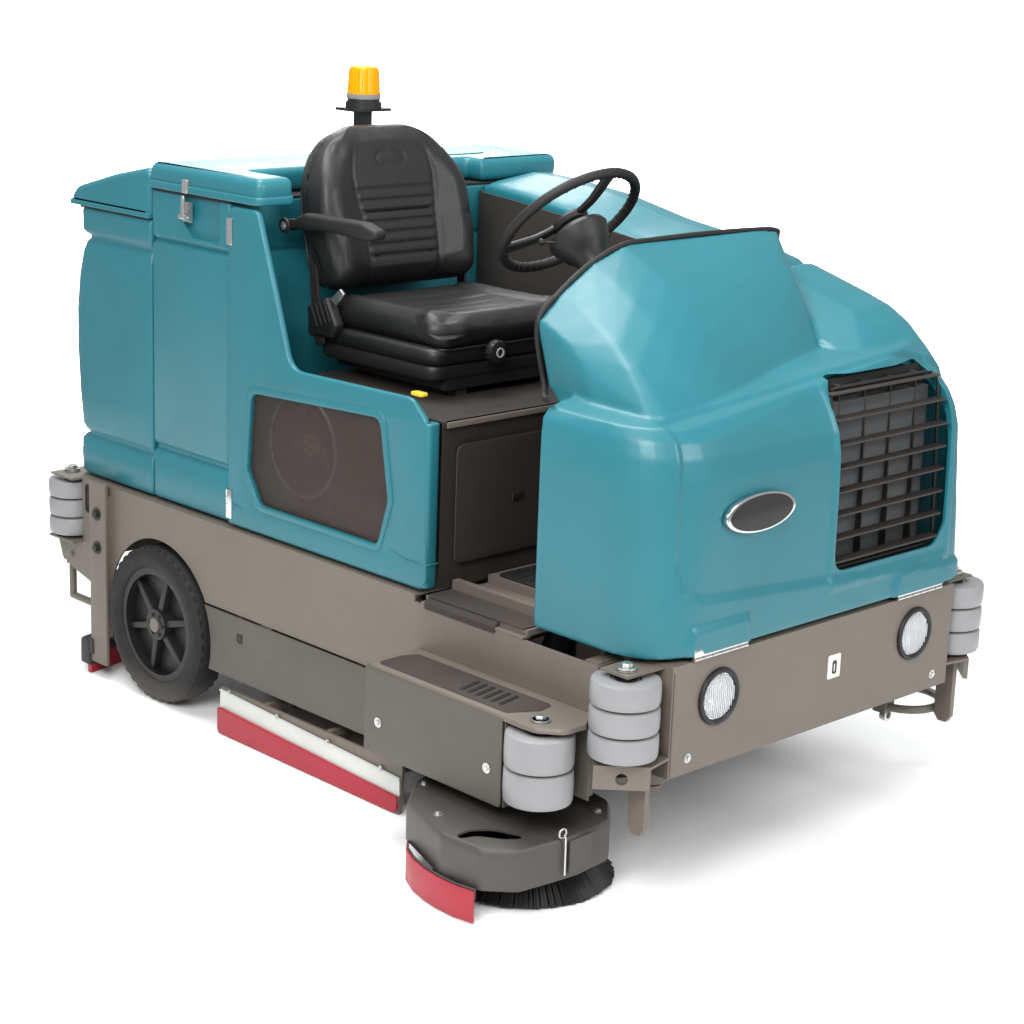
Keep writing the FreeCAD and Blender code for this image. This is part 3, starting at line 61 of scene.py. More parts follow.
def span(node):
    """Lowest and highest corner of a CAD node in machine millimetres."""
    low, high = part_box(node)
    return (Vector(low) - ORIGIN) * 1000, (Vector(high) - ORIGIN) * 1000


def link(name, data):
    """A new scene object holding the data."""
    obj = bpy.data.objects.new(name, data)
    bpy.context.scene.collection.objects.link(obj)
    return obj


def bake(obj):
    """Applies the modifiers, or turns a curve into a mesh."""
    graph = bpy.context.evaluated_depsgraph_get()
    data = bpy.data.meshes.new_from_object(obj.evaluated_get(graph))
    if obj.type == "MESH":
        obj.modifiers.clear()
        obj.data = data
        return obj
    name = obj.name
    bpy.data.objects.remove(obj)
    return link(name, data)


def clean(obj, merge=0.00002):
    """Merges doubled points and turns all faces outwards."""
    work = bmesh.new()
    work.from_mesh(obj.data)
    bmesh.ops.remove_doubles(work, verts=work.verts, dist=merge)
    bmesh.ops.dissolve_degenerate(work, edges=work.edges, dist=0.00001)
    bmesh.ops.recalc_face_normals(work, faces=work.faces)
    work.to_mesh(obj.data)
    work.free()
    return obj


def shade(obj, angle=35):
    """Smooth shading, with edges sharper than the angle kept crisp."""
    obj.data.shade_smooth()
    obj.data.set_sharp_from_angle(angle=math.radians(angle))
    return obj


def soften(obj, width, segments=3, angle=30):
    """Rounds the edges by width millimetres."""
    bevel = obj.modifiers.new("bevel", "BEVEL")
    bevel.width = width / 1000
    bevel.segments = segments
    bevel.limit_method = "ANGLE"
    bevel.angle_limit = math.radians(angle)
    bevel.harden_normals = False
    return shade(bake(obj))


def hull(name, points, bevel=0.0):
    """The convex solid round some points."""
    work = bmesh.new()
    for point in points:
        work.verts.new(P(*point))
    result = bmesh.ops.convex_hull(work, input=work.verts)
    loose = result["geom_interior"] + result["geom_unused"]
    spare = [item for item in loose if isinstance(item, bmesh.types.BMVert)]
    bmesh.ops.delete(work, geom=list(set(spare)), context="VERTS")
    bmesh.ops.dissolve_limit(work, angle_limit=0.01, verts=work.verts, edges=work.edges)
    data = bpy.data.meshes.new(name)
    work.to_mesh(data)
    work.free()
    obj = clean(link(name, data))
    return soften(obj, bevel) if bevel else shade(obj)


def block(name, x, y, z, bevel=2.0):
    """A box with rounded edges."""
    return hull(name, [(a, b, c) for a in x for b in y for c in z], bevel)


def rounded(points, radius, steps=6):
    """An outline with its corners rounded; a point may carry its own radius as a third number."""
    out = []
    count = len(points)
    for i, point in enumerate(points):
        here = Vector(point[:2])
        size = point[2] if len(point) > 2 else radius
        before = Vector(points[i - 1][:2]) - here
        after = Vector(points[(i + 1) % count][:2]) - here
        if not size:
            out.append(tuple(here))
            continue
        reach = min(before.length, after.length) * 0.49
        back = min(size / math.tan(before.angle(after) / 2), reach)
        start = here + before.normalized() * back
        end = here + after.normalized() * back
        for step in range(steps + 1):
            t = step / steps
            curve = start * (1 - t) ** 2 + here * 2 * t * (1 - t) + end * t ** 2
            out.append(tuple(curve))
    return out


def oblong(u, v):
    """The four corners of a rectangle, going round."""
    return [(u[0], v[0]), (u[1], v[0]), (u[1], v[1]), (u[0], v[1])]


def rect(u, v, radius, steps=6):
    """A rectangle's outline with rounded corners."""
    return rounded(oblong(u, v), radius, steps)


def area(points):
    """Signed area of an outline, positive when it runs anticlockwise."""
    return sum(a[0] * b[1] - b[0] * a[1] for a, b in zip(points, points[1:] + points[:1])) / 2


def plate(name, plane, outlines, reach, bevel=2.0):
    """A flat piece with rounded edges: the first outline is its outside, the others are holes."""
    curve = bpy.data.curves.new(name, "CURVE")
    curve.dimensions = "2D"
    curve.fill_mode = "BOTH"
    for i, outline in enumerate(outlines):
        points = [p for p, q in zip(outline, outline[-1:] + outline[:-1]) if math.dist(p[:2], q[:2]) > 0.02]
        if (area(points) > 0) != (i == 0):
            points.reverse()
        spline = curve.splines.new("POLY")
        spline.points.add(len(points) - 1)
        for target, (u, v) in zip(spline.points, points):
            target.co = (u / 1000, v / 1000, 0, 1)
        spline.use_cyclic_u = True
    low, high = sorted(reach)
    curve.extrude = (high - low) / 2000 - bevel / 1000
    curve.bevel_depth = bevel / 1000
    curve.bevel_resolution = 2
    curve.offset = -bevel / 1000
    obj = bake(link(name, curve))
    middle = (low + high) / 2000
    for vert in obj.data.vertices:
        u, v, w = vert.co
        w += middle
        vert.co = ORIGIN + Vector({"YZ": (w, u, v), "XY": (u, v, w), "XZ": (u, w, v)}[plane])
    return shade(clean(obj), 50)


AXES = {"X": Matrix(((0, 0, 1), (1, 0, 0), (0, 1, 0))), "Y": Matrix(((0, 1, 0), (0, 0, 1), (1, 0, 0))),
    "Z": Matrix.Identity(3)}


def turn_to(direction):
    """Rotation taking +Z to direction."""
    return Vector((0, 0, 1)).rotation_difference(Vector(direction)).to_matrix()


def lathe(name, profile, centre, axis="Z", steps=48, angle=35):
    """A turned piece: profile is a closed loop of (radius, height) round the axis through centre."""
    turn = AXES[axis] if isinstance(axis, str) else turn_to(axis)
    data = bpy.data.meshes.new(name)
    points = []
    for step in range(steps):
        around = 2 * math.pi * step / steps
        for radius, height in profile:
            local = Vector((radius * math.cos(around), radius * math.sin(around), height))
            points.append(P(*centre) + turn @ local / 1000)
    rows = len(profile)
    faces = []
    for step in range(steps):
        other = (step + 1) % steps
        for row in range(rows):
            nxt = (row + 1) % rows
            faces.append((step * rows + row, other * rows + row, other * rows + nxt, step * rows + nxt))
    data.from_pydata(points, [], faces)
    return shade(clean(link(name, data)), angle)


def tube(name, points, radius, cyclic=False, fine=6, sides=3):
    """A round rod along a smooth path through the points."""
    path = []
    count = len(points)
    last = count if cyclic else count - 1
    for i in range(last):
        ends = [Vector(points[(i + k) % count] if cyclic else points[min(max(i + k, 0),
            count - 1)]) for k in (-1, 0, 1, 2)]
        for step in range(fine):
            t = step / fine
            a, b, c, d = ends
            path.append(0.5 * (2 * b + (c - a) * t + (2 * a - 5 * b + 4 * c - d) * t ** 2
                               + (3 * b - a - 3 * c + d) * t ** 3))
    if not cyclic:
        path.append(Vector(points[-1]))
    curve = bpy.data.curves.new(name, "CURVE")
    curve.dimensions = "3D"
    spline = curve.splines.new("POLY")
    spline.points.add(len(path) - 1)
    for target, point in zip(spline.points, path):
        target.co = (*P(*point), 1)
    spline.use_cyclic_u = cyclic
    curve.bevel_depth = radius / 1000
    curve.bevel_resolution = sides
    curve.use_fill_caps = not cyclic
    return shade(clean(bake(link(name, curve))), 60)


def ring_stack(name, rings, closed=True, caps=True, angle=35):
    """A skin over rings of points with equal counts; caps closes both ends, or only the last for "end"."""
    size = len(rings[0])
    assert all(len(ring) == size for ring in rings), name
    faces = []
    for level in range(len(rings) - 1):
        for i in range(size if closed else size - 1):
            j = (i + 1) % size
            low, high = level * size, (level + 1) * size
            faces.append((low + i, low + j, high + j, high + i))
    if caps is True:
        faces.append(tuple(range(size)))
    if caps:
        faces.append(tuple(range((len(rings) - 1) * size, len(rings) * size)))
    data = bpy.data.meshes.new(name)
    data.from_pydata([P(*point) for ring in rings for point in ring], [], faces)
    return shade(clean(link(name, data)), angle)


def rect_ring(x, y, z, corners, steps=8):
    """A level ring, a rectangle whose corners run front right, front left, rear left and rear right."""
    spots = oblong((x[0], x[1]), (y[0], y[1]))
    flat = rounded([(a, b, r) for (a, b), r in zip(spots, corners)], 1, steps)
    return [(a, b, z) for a, b in flat]


def join(name, pieces):
    """One object from several, keeping their materials."""
    first = pieces[0]
    if len(pieces) > 1:
        with bpy.context.temp_override(active_object=first, object=first, selected_objects=pieces,
                selected_editable_objects=pieces):
            bpy.ops.object.join()
    first.name = name
    return first


def carve(obj, *tools):
    """Cuts the tools out of obj."""
    for tool in tools:
        step = obj.modifiers.new("cut", "BOOLEAN")
        step.operation = "DIFFERENCE"
        step.solver = "EXACT"
        step.object = tool
        bake(obj)
        bpy.data.objects.remove(tool)
    return shade(obj)


def moulded(name, parts, voxel=7.0, passes=8):
    """The parts melted into one skin with soft inner and outer corners, like a plastic moulding."""
    obj = join(name, parts)
    remesh = obj.modifiers.new("melt", "REMESH")
    remesh.mode = "VOXEL"
    remesh.voxel_size = voxel / 1000
    smooth = obj.modifiers.new("smooth", "SMOOTH")
    smooth.factor = 0.5
    smooth.iterations = passes
    return shade(bake(obj), 60)


def displace(obj, push):
    """Moves each point of obj along its normal by push(x, y, z, normal) millimetres."""
    moves = []
    for vert in obj.data.vertices:
        x, y, z = (vert.co - ORIGIN) * 1000
        moves.append(vert.normal * push(x, y, z, vert.normal) / 1000)
    for vert, move in zip(obj.data.vertices, moves):
        vert.co += move
    return obj


def ramp(value, low, high):
    """0 below low, 1 above high, smooth in between."""
    t = min(max((value - low) / (high - low), 0), 1)
    return t * t * (3 - 2 * t)


def line_side(point, start, end):
    """Distance of a flat point from the line start-end, positive on its left."""
    along = Vector(end) - Vector(start)
    away = Vector(point) - Vector(start)
    return (along.x * away.y - along.y * away.x) / along.length


def hex_bolt(name, centre, axis, size=13, height=8, washer=1.8):
    """A hexagon bolt head on a washer, standing along the axis from centre."""
    turn = turn_to(axis)
    flat = size / 2 / math.cos(math.pi / 6)
    rim = oblong((0, size * 0.95), (0, washer))
    ring = lathe(name, rim, centre, axis, 28)
    head = []
    for low, inset in ((washer, 1.0), (washer + height * 0.85, 1.0), (washer + height, 0.86)):
        head.append([Vector(centre) + turn @ Vector((flat * inset * math.cos(k * math.pi / 3),
            flat * inset * math.sin(k * math.pi / 3), low)) for k in range(6)])
    return join(name, [ring, ring_stack(name + "_head", head)])


# ---------------------------------------------------------------- materials

def colour(code):
    """Linear colour from an sRGB hex code."""
    parts = [int(code[i:i + 2], 16) / 255 for i in (0, 2, 4)]
    return [c / 12.92 if c <= 0.04045 else ((c + 0.055) / 1.055) ** 2.4 for c in parts] + [1]


class Surface:
    """A procedural material: patchy colour, patchy roughness and a fine bump."""

    def __init__(self, name, code, rough=0.5, metal=0.0, patch=0.12, patch_scale=4.0, grain=400.0,
            bump=0.15, stretch=(1, 1, 1), coat=0.0, worn=None):
        self.material = bpy.data.materials.new(name)
        self.material.use_nodes = True
        self.nodes = self.material.node_tree.nodes
        self.shader = self.nodes["Principled BSDF"]
        self.shader.inputs["Metallic"].default_value = metal
        self.shader.inputs["Coat Weight"].default_value = coat
        self.shader.inputs["Coat Roughness"].default_value = 0.12
        self.place = self.add("ShaderNodeTexCoord").outputs["Object"]
        base = colour(code)
        dark = [c * (1 - patch) for c in base[:3]] + [1]
        light = [min(c * (1 + patch * 0.6), 1) for c in base[:3]] + [1]
        cloud = self.noise(patch_scale, 4)
        tint = self.ramp(cloud, ((0.3, dark), (0.7, light)))
        if worn:
            spots = self.ramp(self.noise(patch_scale * 9, 6, 0.7),
                ((0.62, (0, 0, 0, 1)), (0.74, (1, 1, 1, 1))))
            tint = self.mix(spots, tint, colour(worn), 0.35)
        self.wire(tint, self.shader.inputs["Base Color"])
        sheen = self.add("ShaderNodeMapRange")
        self.wire(self.noise(patch_scale * 5, 3), sheen.inputs["Value"])
        sheen.inputs["To Min"].default_value = max(rough - 0.09, 0.03)
        sheen.inputs["To Max"].default_value = min(rough + 0.09, 1)
        self.wire(sheen.outputs["Result"], self.shader.inputs["Roughness"])
        self.height = self.noise(grain, 2, 0.5, stretch)
        self.bump = self.add("ShaderNodeBump")
        self.bump.inputs["Strength"].default_value = bump
        self.bump.inputs["Distance"].default_value = 0.0006
        self.wire(self.height, self.bump.inputs["Height"])
        self.wire(self.bump.outputs["Normal"], self.shader.inputs["Normal"])

    def add(self, kind):
        return self.nodes.new(kind)

    def wire(self, start, end):
        self.material.node_tree.links.new(start, end)

    def noise(self, scale, detail, rough=0.5, stretch=(1, 1, 1)):
        mapping = self.add("ShaderNodeMapping")
        mapping.inputs["Scale"].default_value = stretch
        self.wire(self.place, mapping.inputs["Vector"])
        texture = self.add("ShaderNodeTexNoise")
        texture.inputs["Scale"].default_value = scale
        texture.inputs["Detail"].default_value = detail
        texture.inputs["Roughness"].default_value = rough
        self.wire(mapping.outputs["Vector"], texture.inputs["Vector"])
        return texture.outputs["Fac"]

    def ramp(self, value, stops):
        node = self.add("ShaderNodeValToRGB")
        for element, (place, tone) in zip(node.color_ramp.elements, stops):
            element.position = place
            element.color = tone
        self.wire(value, node.inputs["Fac"])
        return node.outputs["Color"]

    def mix(self, factor, first, second, amount=1.0):
        scale = self.add("ShaderNodeMath")
        scale.operation = "MULTIPLY"
        scale.inputs[1].default_value = amount
        self.wire(factor, scale.inputs[0])
        node = self.add("ShaderNodeMix")
        node.data_type = "RGBA"
        self.wire(scale.outputs[0], node.inputs["Factor"])
        self.wire(first, node.inputs["A"])
        node.inputs["B"].default_value = second
        return node.outputs["Result"]

    def pebble(self, scale, strength, distance=0.0012):
        """Leather-like cells on top of the fine grain."""
        cells = self.add("ShaderNodeTexVoronoi")
        cells.inputs["Scale"].default_value = scale
        self.wire(self.place, cells.inputs["Vector"])
        second = self.add("ShaderNodeBump")
        second.inputs["Strength"].default_value = strength
        second.inputs["Distance"].default_value = distance
        self.wire(cells.outputs["Distance"], second.inputs["Height"])
        self.wire(self.bump.outputs["Normal"], second.inputs["Normal"])
        self.wire(second.outputs["Normal"], self.shader.inputs["Normal"])
        return self

    def dust(self, code, top=0.12, amount=0.45):
        """A pale dusting that fades out towards top metres above the floor."""
        split = self.add("ShaderNodeSeparateXYZ")
        geometry = self.add("ShaderNodeNewGeometry")
        self.wire(geometry.outputs["Position"], split.inputs["Vector"])
        fade = self.add("ShaderNodeMapRange")
        fade.inputs["From Max"].default_value = top
        fade.inputs["To Min"].default_value = 1
        fade.inputs["To Max"].default_value = 0
        self.wire(split.outputs["Z"], fade.inputs["Value"])
        source = self.shader.inputs["Base Color"].links[0].from_socket
        self.wire(self.mix(fade.outputs["Result"], source, colour(code), amount),
            self.shader.inputs["Base Color"])
        return self


def sheer(surface, alpha):
    """Lets the things behind a fine screen show through."""
    surface.shader.inputs["Alpha"].default_value = alpha
    return surface


def see_through(surface, amount):
    """Lets light through part of the surface, like a clear lens."""
    surface.shader.inputs["Transmission Weight"].default_value = amount
    surface.shader.inputs["IOR"].default_value = 1.3
    return surface


TEAL = Surface("teal_moulding", "206d78", 0.42, patch=0.07, grain=900, bump=0.05, coat=0.1)
FRAME = Surface("frame_powder_coat", "6a6359", 0.5, patch=0.06, grain=1500, bump=0.22, worn="80776b")
SKIRT = Surface("skirt_powder_coat", "504b44", 0.52, patch=0.08, grain=1400, bump=0.2,
    worn="69625a").dust("776e64", 0.35, 0.2)
CAB = Surface("cab_moulding", "302b27", 0.55, patch=0.1, grain=1200, bump=0.3)
CAB_FLOOR = Surface("cab_floor", "6b625a", 0.6, patch=0.1, grain=900, bump=0.3, worn="7a7168")
BLACK = Surface("black_plastic", "191817", 0.48, patch=0.12, grain=1500, bump=0.3)
TRIM = Surface("soft_trim", "141313", 0.62, patch=0.1, grain=900, bump=0.25)
TREAD_STRIP = Surface("anti_slip_strip", "3d3631", 0.9, patch=0.2, grain=2600, bump=1.0)
ROLLER = Surface("roller_polyurethane", "8c8c8d", 0.4, patch=0.05, grain=500, bump=0.06, worn="85888d")
TYRE = Surface("solid_tyre", "141312", 0.72, patch=0.15, grain=700, bump=0.35,
    worn="4b4641").dust("6f685f", 0.1, 0.5)
HUB = Surface("wheel_hub_paint", "1b1918", 0.5, patch=0.15, grain=1200, bump=0.3)
RED = Surface("red_squeegee", "a01a2c", 0.45, patch=0.08, grain=600, bump=0.08)
BRISTLE = Surface("nylon_bristle", "171615", 0.6, patch=0.3, patch_scale=30, grain=900, bump=0.3)
VINYL = Surface("seat_vinyl", "0f0f0f", 0.5, patch=0.1, grain=700, bump=0.12, coat=0.1).pebble(420, 0.35)
GASKET = Surface("lid_gasket", "0e0e0e", 0.7, patch=0.1, grain=900, bump=0.2)
COVER = Surface("brush_cover_paint", "45413d", 0.5, patch=0.08, grain=1400, bump=0.2, worn="5f5a53")
ZINC = Surface("zinc_plate", "c9cac6", 0.3, 0.9, patch=0.12, patch_scale=25, grain=1500, bump=0.1,
    worn="8f8f8a")
HOLDER = Surface("holder_alloy", "cdd1ca", 0.4, 0.35, patch=0.06, grain=300, bump=0.1, stretch=(8, 0.2, 8))
CHROME = Surface("polished_tube", "d8d8d6", 0.16, 1.0, patch=0.06, grain=500, bump=0.04)
DARK_STEEL = Surface("dark_steel", "3a3733", 0.45, 0.5, patch=0.15, grain=900, bump=0.2, worn="5c5751")
YELLOW = Surface("yellow_plastic", "e3b51a", 0.4, patch=0.06, grain=1200, bump=0.15)
AMBER = see_through(Surface("amber_lens", "ffa800", 0.16, patch=0.06, grain=300, bump=0.05), 0.15)
CLEAR = see_through(Surface("clear_ring", "e9ebe6", 0.12, patch=0.03, grain=300, bump=0.05), 0.7)
LAMP = see_through(Surface("lamp_glass", "f4f6f8", 0.1, patch=0.04, grain=160, bump=0.25), 0.6)
SILVER = Surface("reflector", "e6e6e2", 0.14, 1.0, patch=0.04, grain=300, bump=0.05)
SCREEN = sheer(Surface("screen_mesh", "3c312b", 0.5, patch=0.1, grain=2200, bump=0.6), 0.62)
HUB_ORANGE = Surface("fan_cap", "c8762a", 0.5, patch=0.1, grain=900, bump=0.15)
ENGINE = Surface("engine_paint", "4b4d4e", 0.5, 0.3, patch=0.2, grain=500, bump=0.3, worn="2e2d2b")
BLANK_LABEL = Surface("blank_label", "d9d6cf", 0.5, patch=0.05, grain=900, bump=0.1)


def paint(surface, *pieces):
    """Gives pieces one material; returns the piece, or a list of several."""
    for piece in pieces:
        piece.data.materials.clear()
        piece.data.materials.append(surface.material)
        for face in piece.data.polygons:
            face.material_index = 0
    return pieces[0] if len(pieces) == 1 else list(pieces)


def keep(surface, *nodes):
    """A carried-over CAD node gets a finish."""
    for name in nodes:
        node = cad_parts[name]
        node.data.materials.clear()
        node.data.materials.append(surface.material)


def fit(name, pieces, body, *nodes, slot=None):
    """Joins pieces, lets them ride on a body and stand for CAD nodes."""
    obj = join(name, pieces)
    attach(obj, body)
    if nodes:
        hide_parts(*nodes)
    return obj


# The planes that several pieces share, in machine millimetres.
BUMPER_FACE = -1186
LID_HINGE = 606
SHELL_FOOT = 583


# ---------------------------------------------------------------- teal mouldings

def shrink(points, centre, gap):
    """The points drawn in towards a centre by gap millimetres along each axis."""
    out = []
    for point in points:
        out.append(tuple(p - math.copysign(min(gap, abs(p - c)), p - c) for p, c in zip(point, centre)))
    return out


def nose_points(drop=0):
    """The lower nose: a rounded box with an almost level top that climbs a little to the left."""
    points = []
    for z, inset, right, left in ((585, 0, 170, 85), (760, 0, 185, 110), (985, 0, 200, 150),
            (1040, 9, 200, 160), (1078, 26, 195, 160), (1104, 54, 180, 150)):
        points += rect_ring((-600 + inset / 2, 600 - inset / 2), (-1186 + inset, -799), z,
            (right, left, 14, 14), 9)
    points += [(-594, -800, 1082), (-572, -800, 1108), (-500, -800, 1124), (-486, -1054, 1112),
        (-195, -1040, 1137), (265, -919, 1176), (420, -1042, 1184), (300, -1096, 1176), (540, -1010, 1192),
        (575, -1015, 1160)]
    return [(x, y, z - drop) for x, y, z in points]


def fender_points(drop=0):
    """The higher shoulder in front of the side hood."""
    points = []
    for y, top, side in ((-640, 1332, 596), (-731, 1305, 596), (-820, 1284, 593), (-905, 1260, 587),
            (-970, 1228, 580), (-1020, 1192, 570), (-1060, 1150, 552)):
        points += [(side, y, 1000), (side, y, top - 62), (side - 10, y, top - 26), (side - 34, y, top - 6),
            (side - 80, y, top), (side - 180, y, top - 10), (262, y, max(top - 66, 1150)), (262, y, 1000)]
    return [(x, y, z - drop) for x, y, z in points]


COWL_RIM = [(-425, 1108), (-464, 1272), (-387, 1335), (-289, 1394), (-181, 1430), (-82, 1432), (103, 1432),
    (300, 1434), (392, 1428), (404, 1404), (404, 1108)]


def cowl_points():
    """The raised block over the dash: from its rim at the back to its foot on the nose."""
    rim = [(x, -646, z) for x, z in COWL_RIM]
    foot = [(-470, -700, 1122), (-512, -892, 1112), (-498, -1046, 1110), (-468, -1066, 1112),
        (-340, -1064, 1122), (-195, -1038, 1137), (63, -974, 1158), (240, -927, 1178), (276, -896, 1180),
        (404, -700, 1180)]
    swell = []
    for step in range(1, 6):
        t = step / 6
        for (x0, y0, z0), (x1, z1) in zip(foot[1:9], COWL_RIM[1:3] + COWL_RIM[2:8]):
            rise = 34 * math.sin(math.pi * t)
            swell.append((x0 + (x1 - x0) * t, y0 + (-646 - y0) * t - rise * 0.75,
                z0 + (z1 - z0) * t + rise * 0.66))
    low = [(-512, -892, 1010), (-468, -1060, 1010), (63, -974, 1010), (265, -900, 1010), (404, -700, 1010)]
    return rim + foot + swell + low


PANEL = [((-494, 1200), (-516, 1000)), ((-516, 1000), (-520, 800)), ((-520, 800), (-500, 735)),
    ((-500, 735), (-440, 712)), ((-440, 712), (488, 641))]


def nose_relief(x, y, z, normal):
    """Embossing of the nose: a sunken front panel, hinge bosses and a grille lip."""
    if y > -1064:
        return 0
    inside = min(line_side((x, z), start, end) for start, end in PANEL)
    push = -9 * ramp(inside, -7, 9) * ramp(-normal.y + normal.z * 0.6, 0.25, 0.6) * ramp(-y, 1064, 1084)
    for side in (-1, 1):
        away = min(106 - abs(x - side * 380) - max(z - 610, 0) * 0.25, 650 - z)
        push += 9 * ramp(away, -7, 7) * ramp(-normal.y, 0.6, 0.9)
    lip = max(abs(x - 262) - 232, abs(z - 925) - 262)
    push += 4 * (1 - ramp(abs(lip - 4), 4, 16)) * ramp(-normal.y, 0.3, 0.7)
    return push


def front_shroud():
    """The hollow nose moulding: a low nose, a higher shoulder and the cowl, with a mouth for the grille."""
    skin = moulded("shroud_skin", [hull("nose", nose_points()), hull("fender", fender_points()),
        hull("cowl", cowl_points())], 6.0, 6)
    displace(skin, nose_relief)
    inner = hull("nose_room", shrink(nose_points(9), (0, -700, 700), 15))
    under = hull("fender_room", shrink(fender_points(9), (460, -700, 700), 13))
    room = hull("cowl_room", [(x * 0.965, -560 if y == -646 else y + 16,
        z - 12 if z > 1110 else z - 60) for x, y, z in cowl_points()])
    rear_gap = block("rear_gap", (-586, 586), (-960, -700), (560, 1060), 0)
    foot = block("foot_gap", (-700, 700), (-1300, -500), (500, 586), 0)
    rear = block("rear_trim", (-700, 700), (-643, -500), (500, 1500), 0)
    mouth = plate("grille_mouth", "XZ", [rounded([(40, 690, 46), (446, 690, 46), (484, 740, 30),
        (484, 1112, 40), (440, 1152, 30), (60, 1152, 50), (24, 1100, 30)], 30)], (-1230, -1060), 0.5)
    carve(skin, inner, under, room, rear_gap, foot, rear, mouth)
    paint(TEAL, skin)
    return fit("front_shroud_skin", [clean(skin)], "shroud", "front_shroud", slot="teal_shell")


def cowl_trim():
    """Black edging round the dash opening."""
    rim = [(-577, -812, 1128), (-520, -735, 1108), (-436, -648, 1118), (-462, -645, 1265),
        (-390, -645, 1332), (-289, -645, 1392), (-184, -645, 1427), (-82, -645, 1432), (103, -645, 1434),
        (300, -645, 1431), (392, -645, 1424), (401, -645, 1402), (402, -645, 1270)]
    edge = tube("cowl_edge", rim, 7.5)
    return fit("cowl_edge_trim", [paint(TRIM, edge)], "shroud")


def grille():
    """Thin level louvres in front of upright slats, in a dark frame."""
    pieces = []
    for i in range(8):
        z = 712 + i * 58
        front = -1182 + max(z - 1030, 0) * 0.42
        blade = oblong((34, 472), (front + 8, front + 40))
        fin = plate("louvre", "XY", [rounded(blade, 8)], (z - 2.6, z + 2.6), 1.2)
        pieces.append(paint(CAB, fin))
    for x in (100, 202, 304, 406):
        slat = plate("slat", "YZ", [[(-1132, 694), (-1104, 694), (-1086, 1130), (-1108, 1130)]],
            (x - 2.5, x + 2.5), 1)
        pieces.append(paint(CAB, slat))
    back = plate("screen_back", "XZ", [rect((30, 476), (684, 1140), 30)], (-1078, -1072), 1)
    lean = oblong((40, 470), (690, 1126))
    rim = tube("grille_rim", [(x, -1150 + max(z - 1030, 0) * 0.35, z) for x, z in rounded(lean, 45, 3)], 5,
        True, 2)
    return fit("grille_louvre_set", pieces + [paint(GASKET, back), paint(TRIM, rim)], "shroud",
        "front_grille", slot="dark_trim")


def shroud_fittings():
    """A blank oval badge and two hinge strips."""
    ring = [(122 * math.cos(a), 46 * math.sin(a)) for a in (k * math.pi / 24 for k in range(48))]
    parts = []
    for scale, reach, surface in ((1.0, (-1193, -1180), CHROME), (0.9, (-1195.5, -1188), BLACK)):
        shape = [(-266 + u * scale, 893 + v * scale) for u, v in ring]
        parts.append(paint(surface, plate("badge", "XZ", [shape], reach, 2.5)))
    for side in (-1, 1):
        x = side * 380
        parts.append(paint(CHROME, block("hinge_leaf", (x - 93, x + 93), (-1194, -1186), (586, 604), 1.2)))
        for k in range(6):
            low = x - 93 + k * 31.2
            barrel = lathe("barrel", oblong((0, 4.6), (0, 29.5)), (low, -1191, 581), "X", 16)
            parts.append(paint(CHROME, barrel))
    return fit("badge_and_hinges", parts, "shroud", "shroud_fittings", slot="zinc_steel")


def lid_knuckles(radius, z, places):
    """Two hinge knuckles on the left edge of a lid, each starting at one of the places."""
    profile = oblong((0, radius), (0, 58))
    return [paint(ZINC, lathe("knuckle", profile, (LID_HINGE, y, z), "Y", 20)) for y in places]


def left_hood():
    """The long cover beside the driver, a thin shell open underneath."""
    rings = []
    spine = [(-636, 1334), (-503, 1366), (-214, 1402), (16, 1447), (200, 1466), (358, 1476)]
    front, length = -632, 990
    for k in range(33):
        y = front + k * length / 32
        for (y0, z0), (y1, z1) in zip(spine, spine[1:]):
            if y0 <= y <= y1:
                top = z0 + (z1 - z0) * (y - y0) / (y1 - y0)
        edge = 14 * (1 - ramp(min(y - front, front + length - y), 0, 16))
        inner = top - 26 - 10 * math.sin(math.pi * (y - front) / length)
        line = [(296 + edge / 3, 1242, 0), (296 + edge / 3, inner - edge, 26), (330, inner + 8 - edge, 60),
            (470, top - 1 - edge, 80), (560, top - 8 - edge, 50), (598 - edge / 3, top - 58 - edge, 40),
            (599 - edge / 3, 1242, 0)]
        flat = rounded(line + [(450, 900, 0)], 1, 5)[:-1]
        rings.append([(x, y, z) for x, z in flat])
    skin = ring_stack("hood", rings, closed=False, angle=50)
    wall = skin.modifiers.new("wall", "SOLIDIFY")
    wall.thickness = 0.005
    wall.offset = -1
    soften(bake(skin), 2.5, 2, 40)
    paint(TEAL, skin)
    scoop = plate("scoop", "XY", [rounded([(360, -560), (470, -560), (520, -470), (380, -430)], 24)],
        (1352, 1374), 6)
    for vert in scoop.data.vertices:
        vert.co.z += (vert.co.y - ORIGIN.y + 0.5) * 0.13
    knuckles = lid_knuckles(6, 1240, (-520, 200))
    return fit("left_hood_cover", [skin, paint(TEAL, scoop)] + knuckles, "hood", "left_hood",
        slot="teal_shell")


def tank_rings(levels, x, y_front, corners):
    """Level rings for a tank: each level gives its height, its rear edge and how far its sides draw in."""
    rings = []
    for z, rear, inset in levels:
        rings.append(rect_ring((x[0] + inset, x[1] - inset), (y_front + inset * 0.4, rear), z, corners, 9))
    return rings


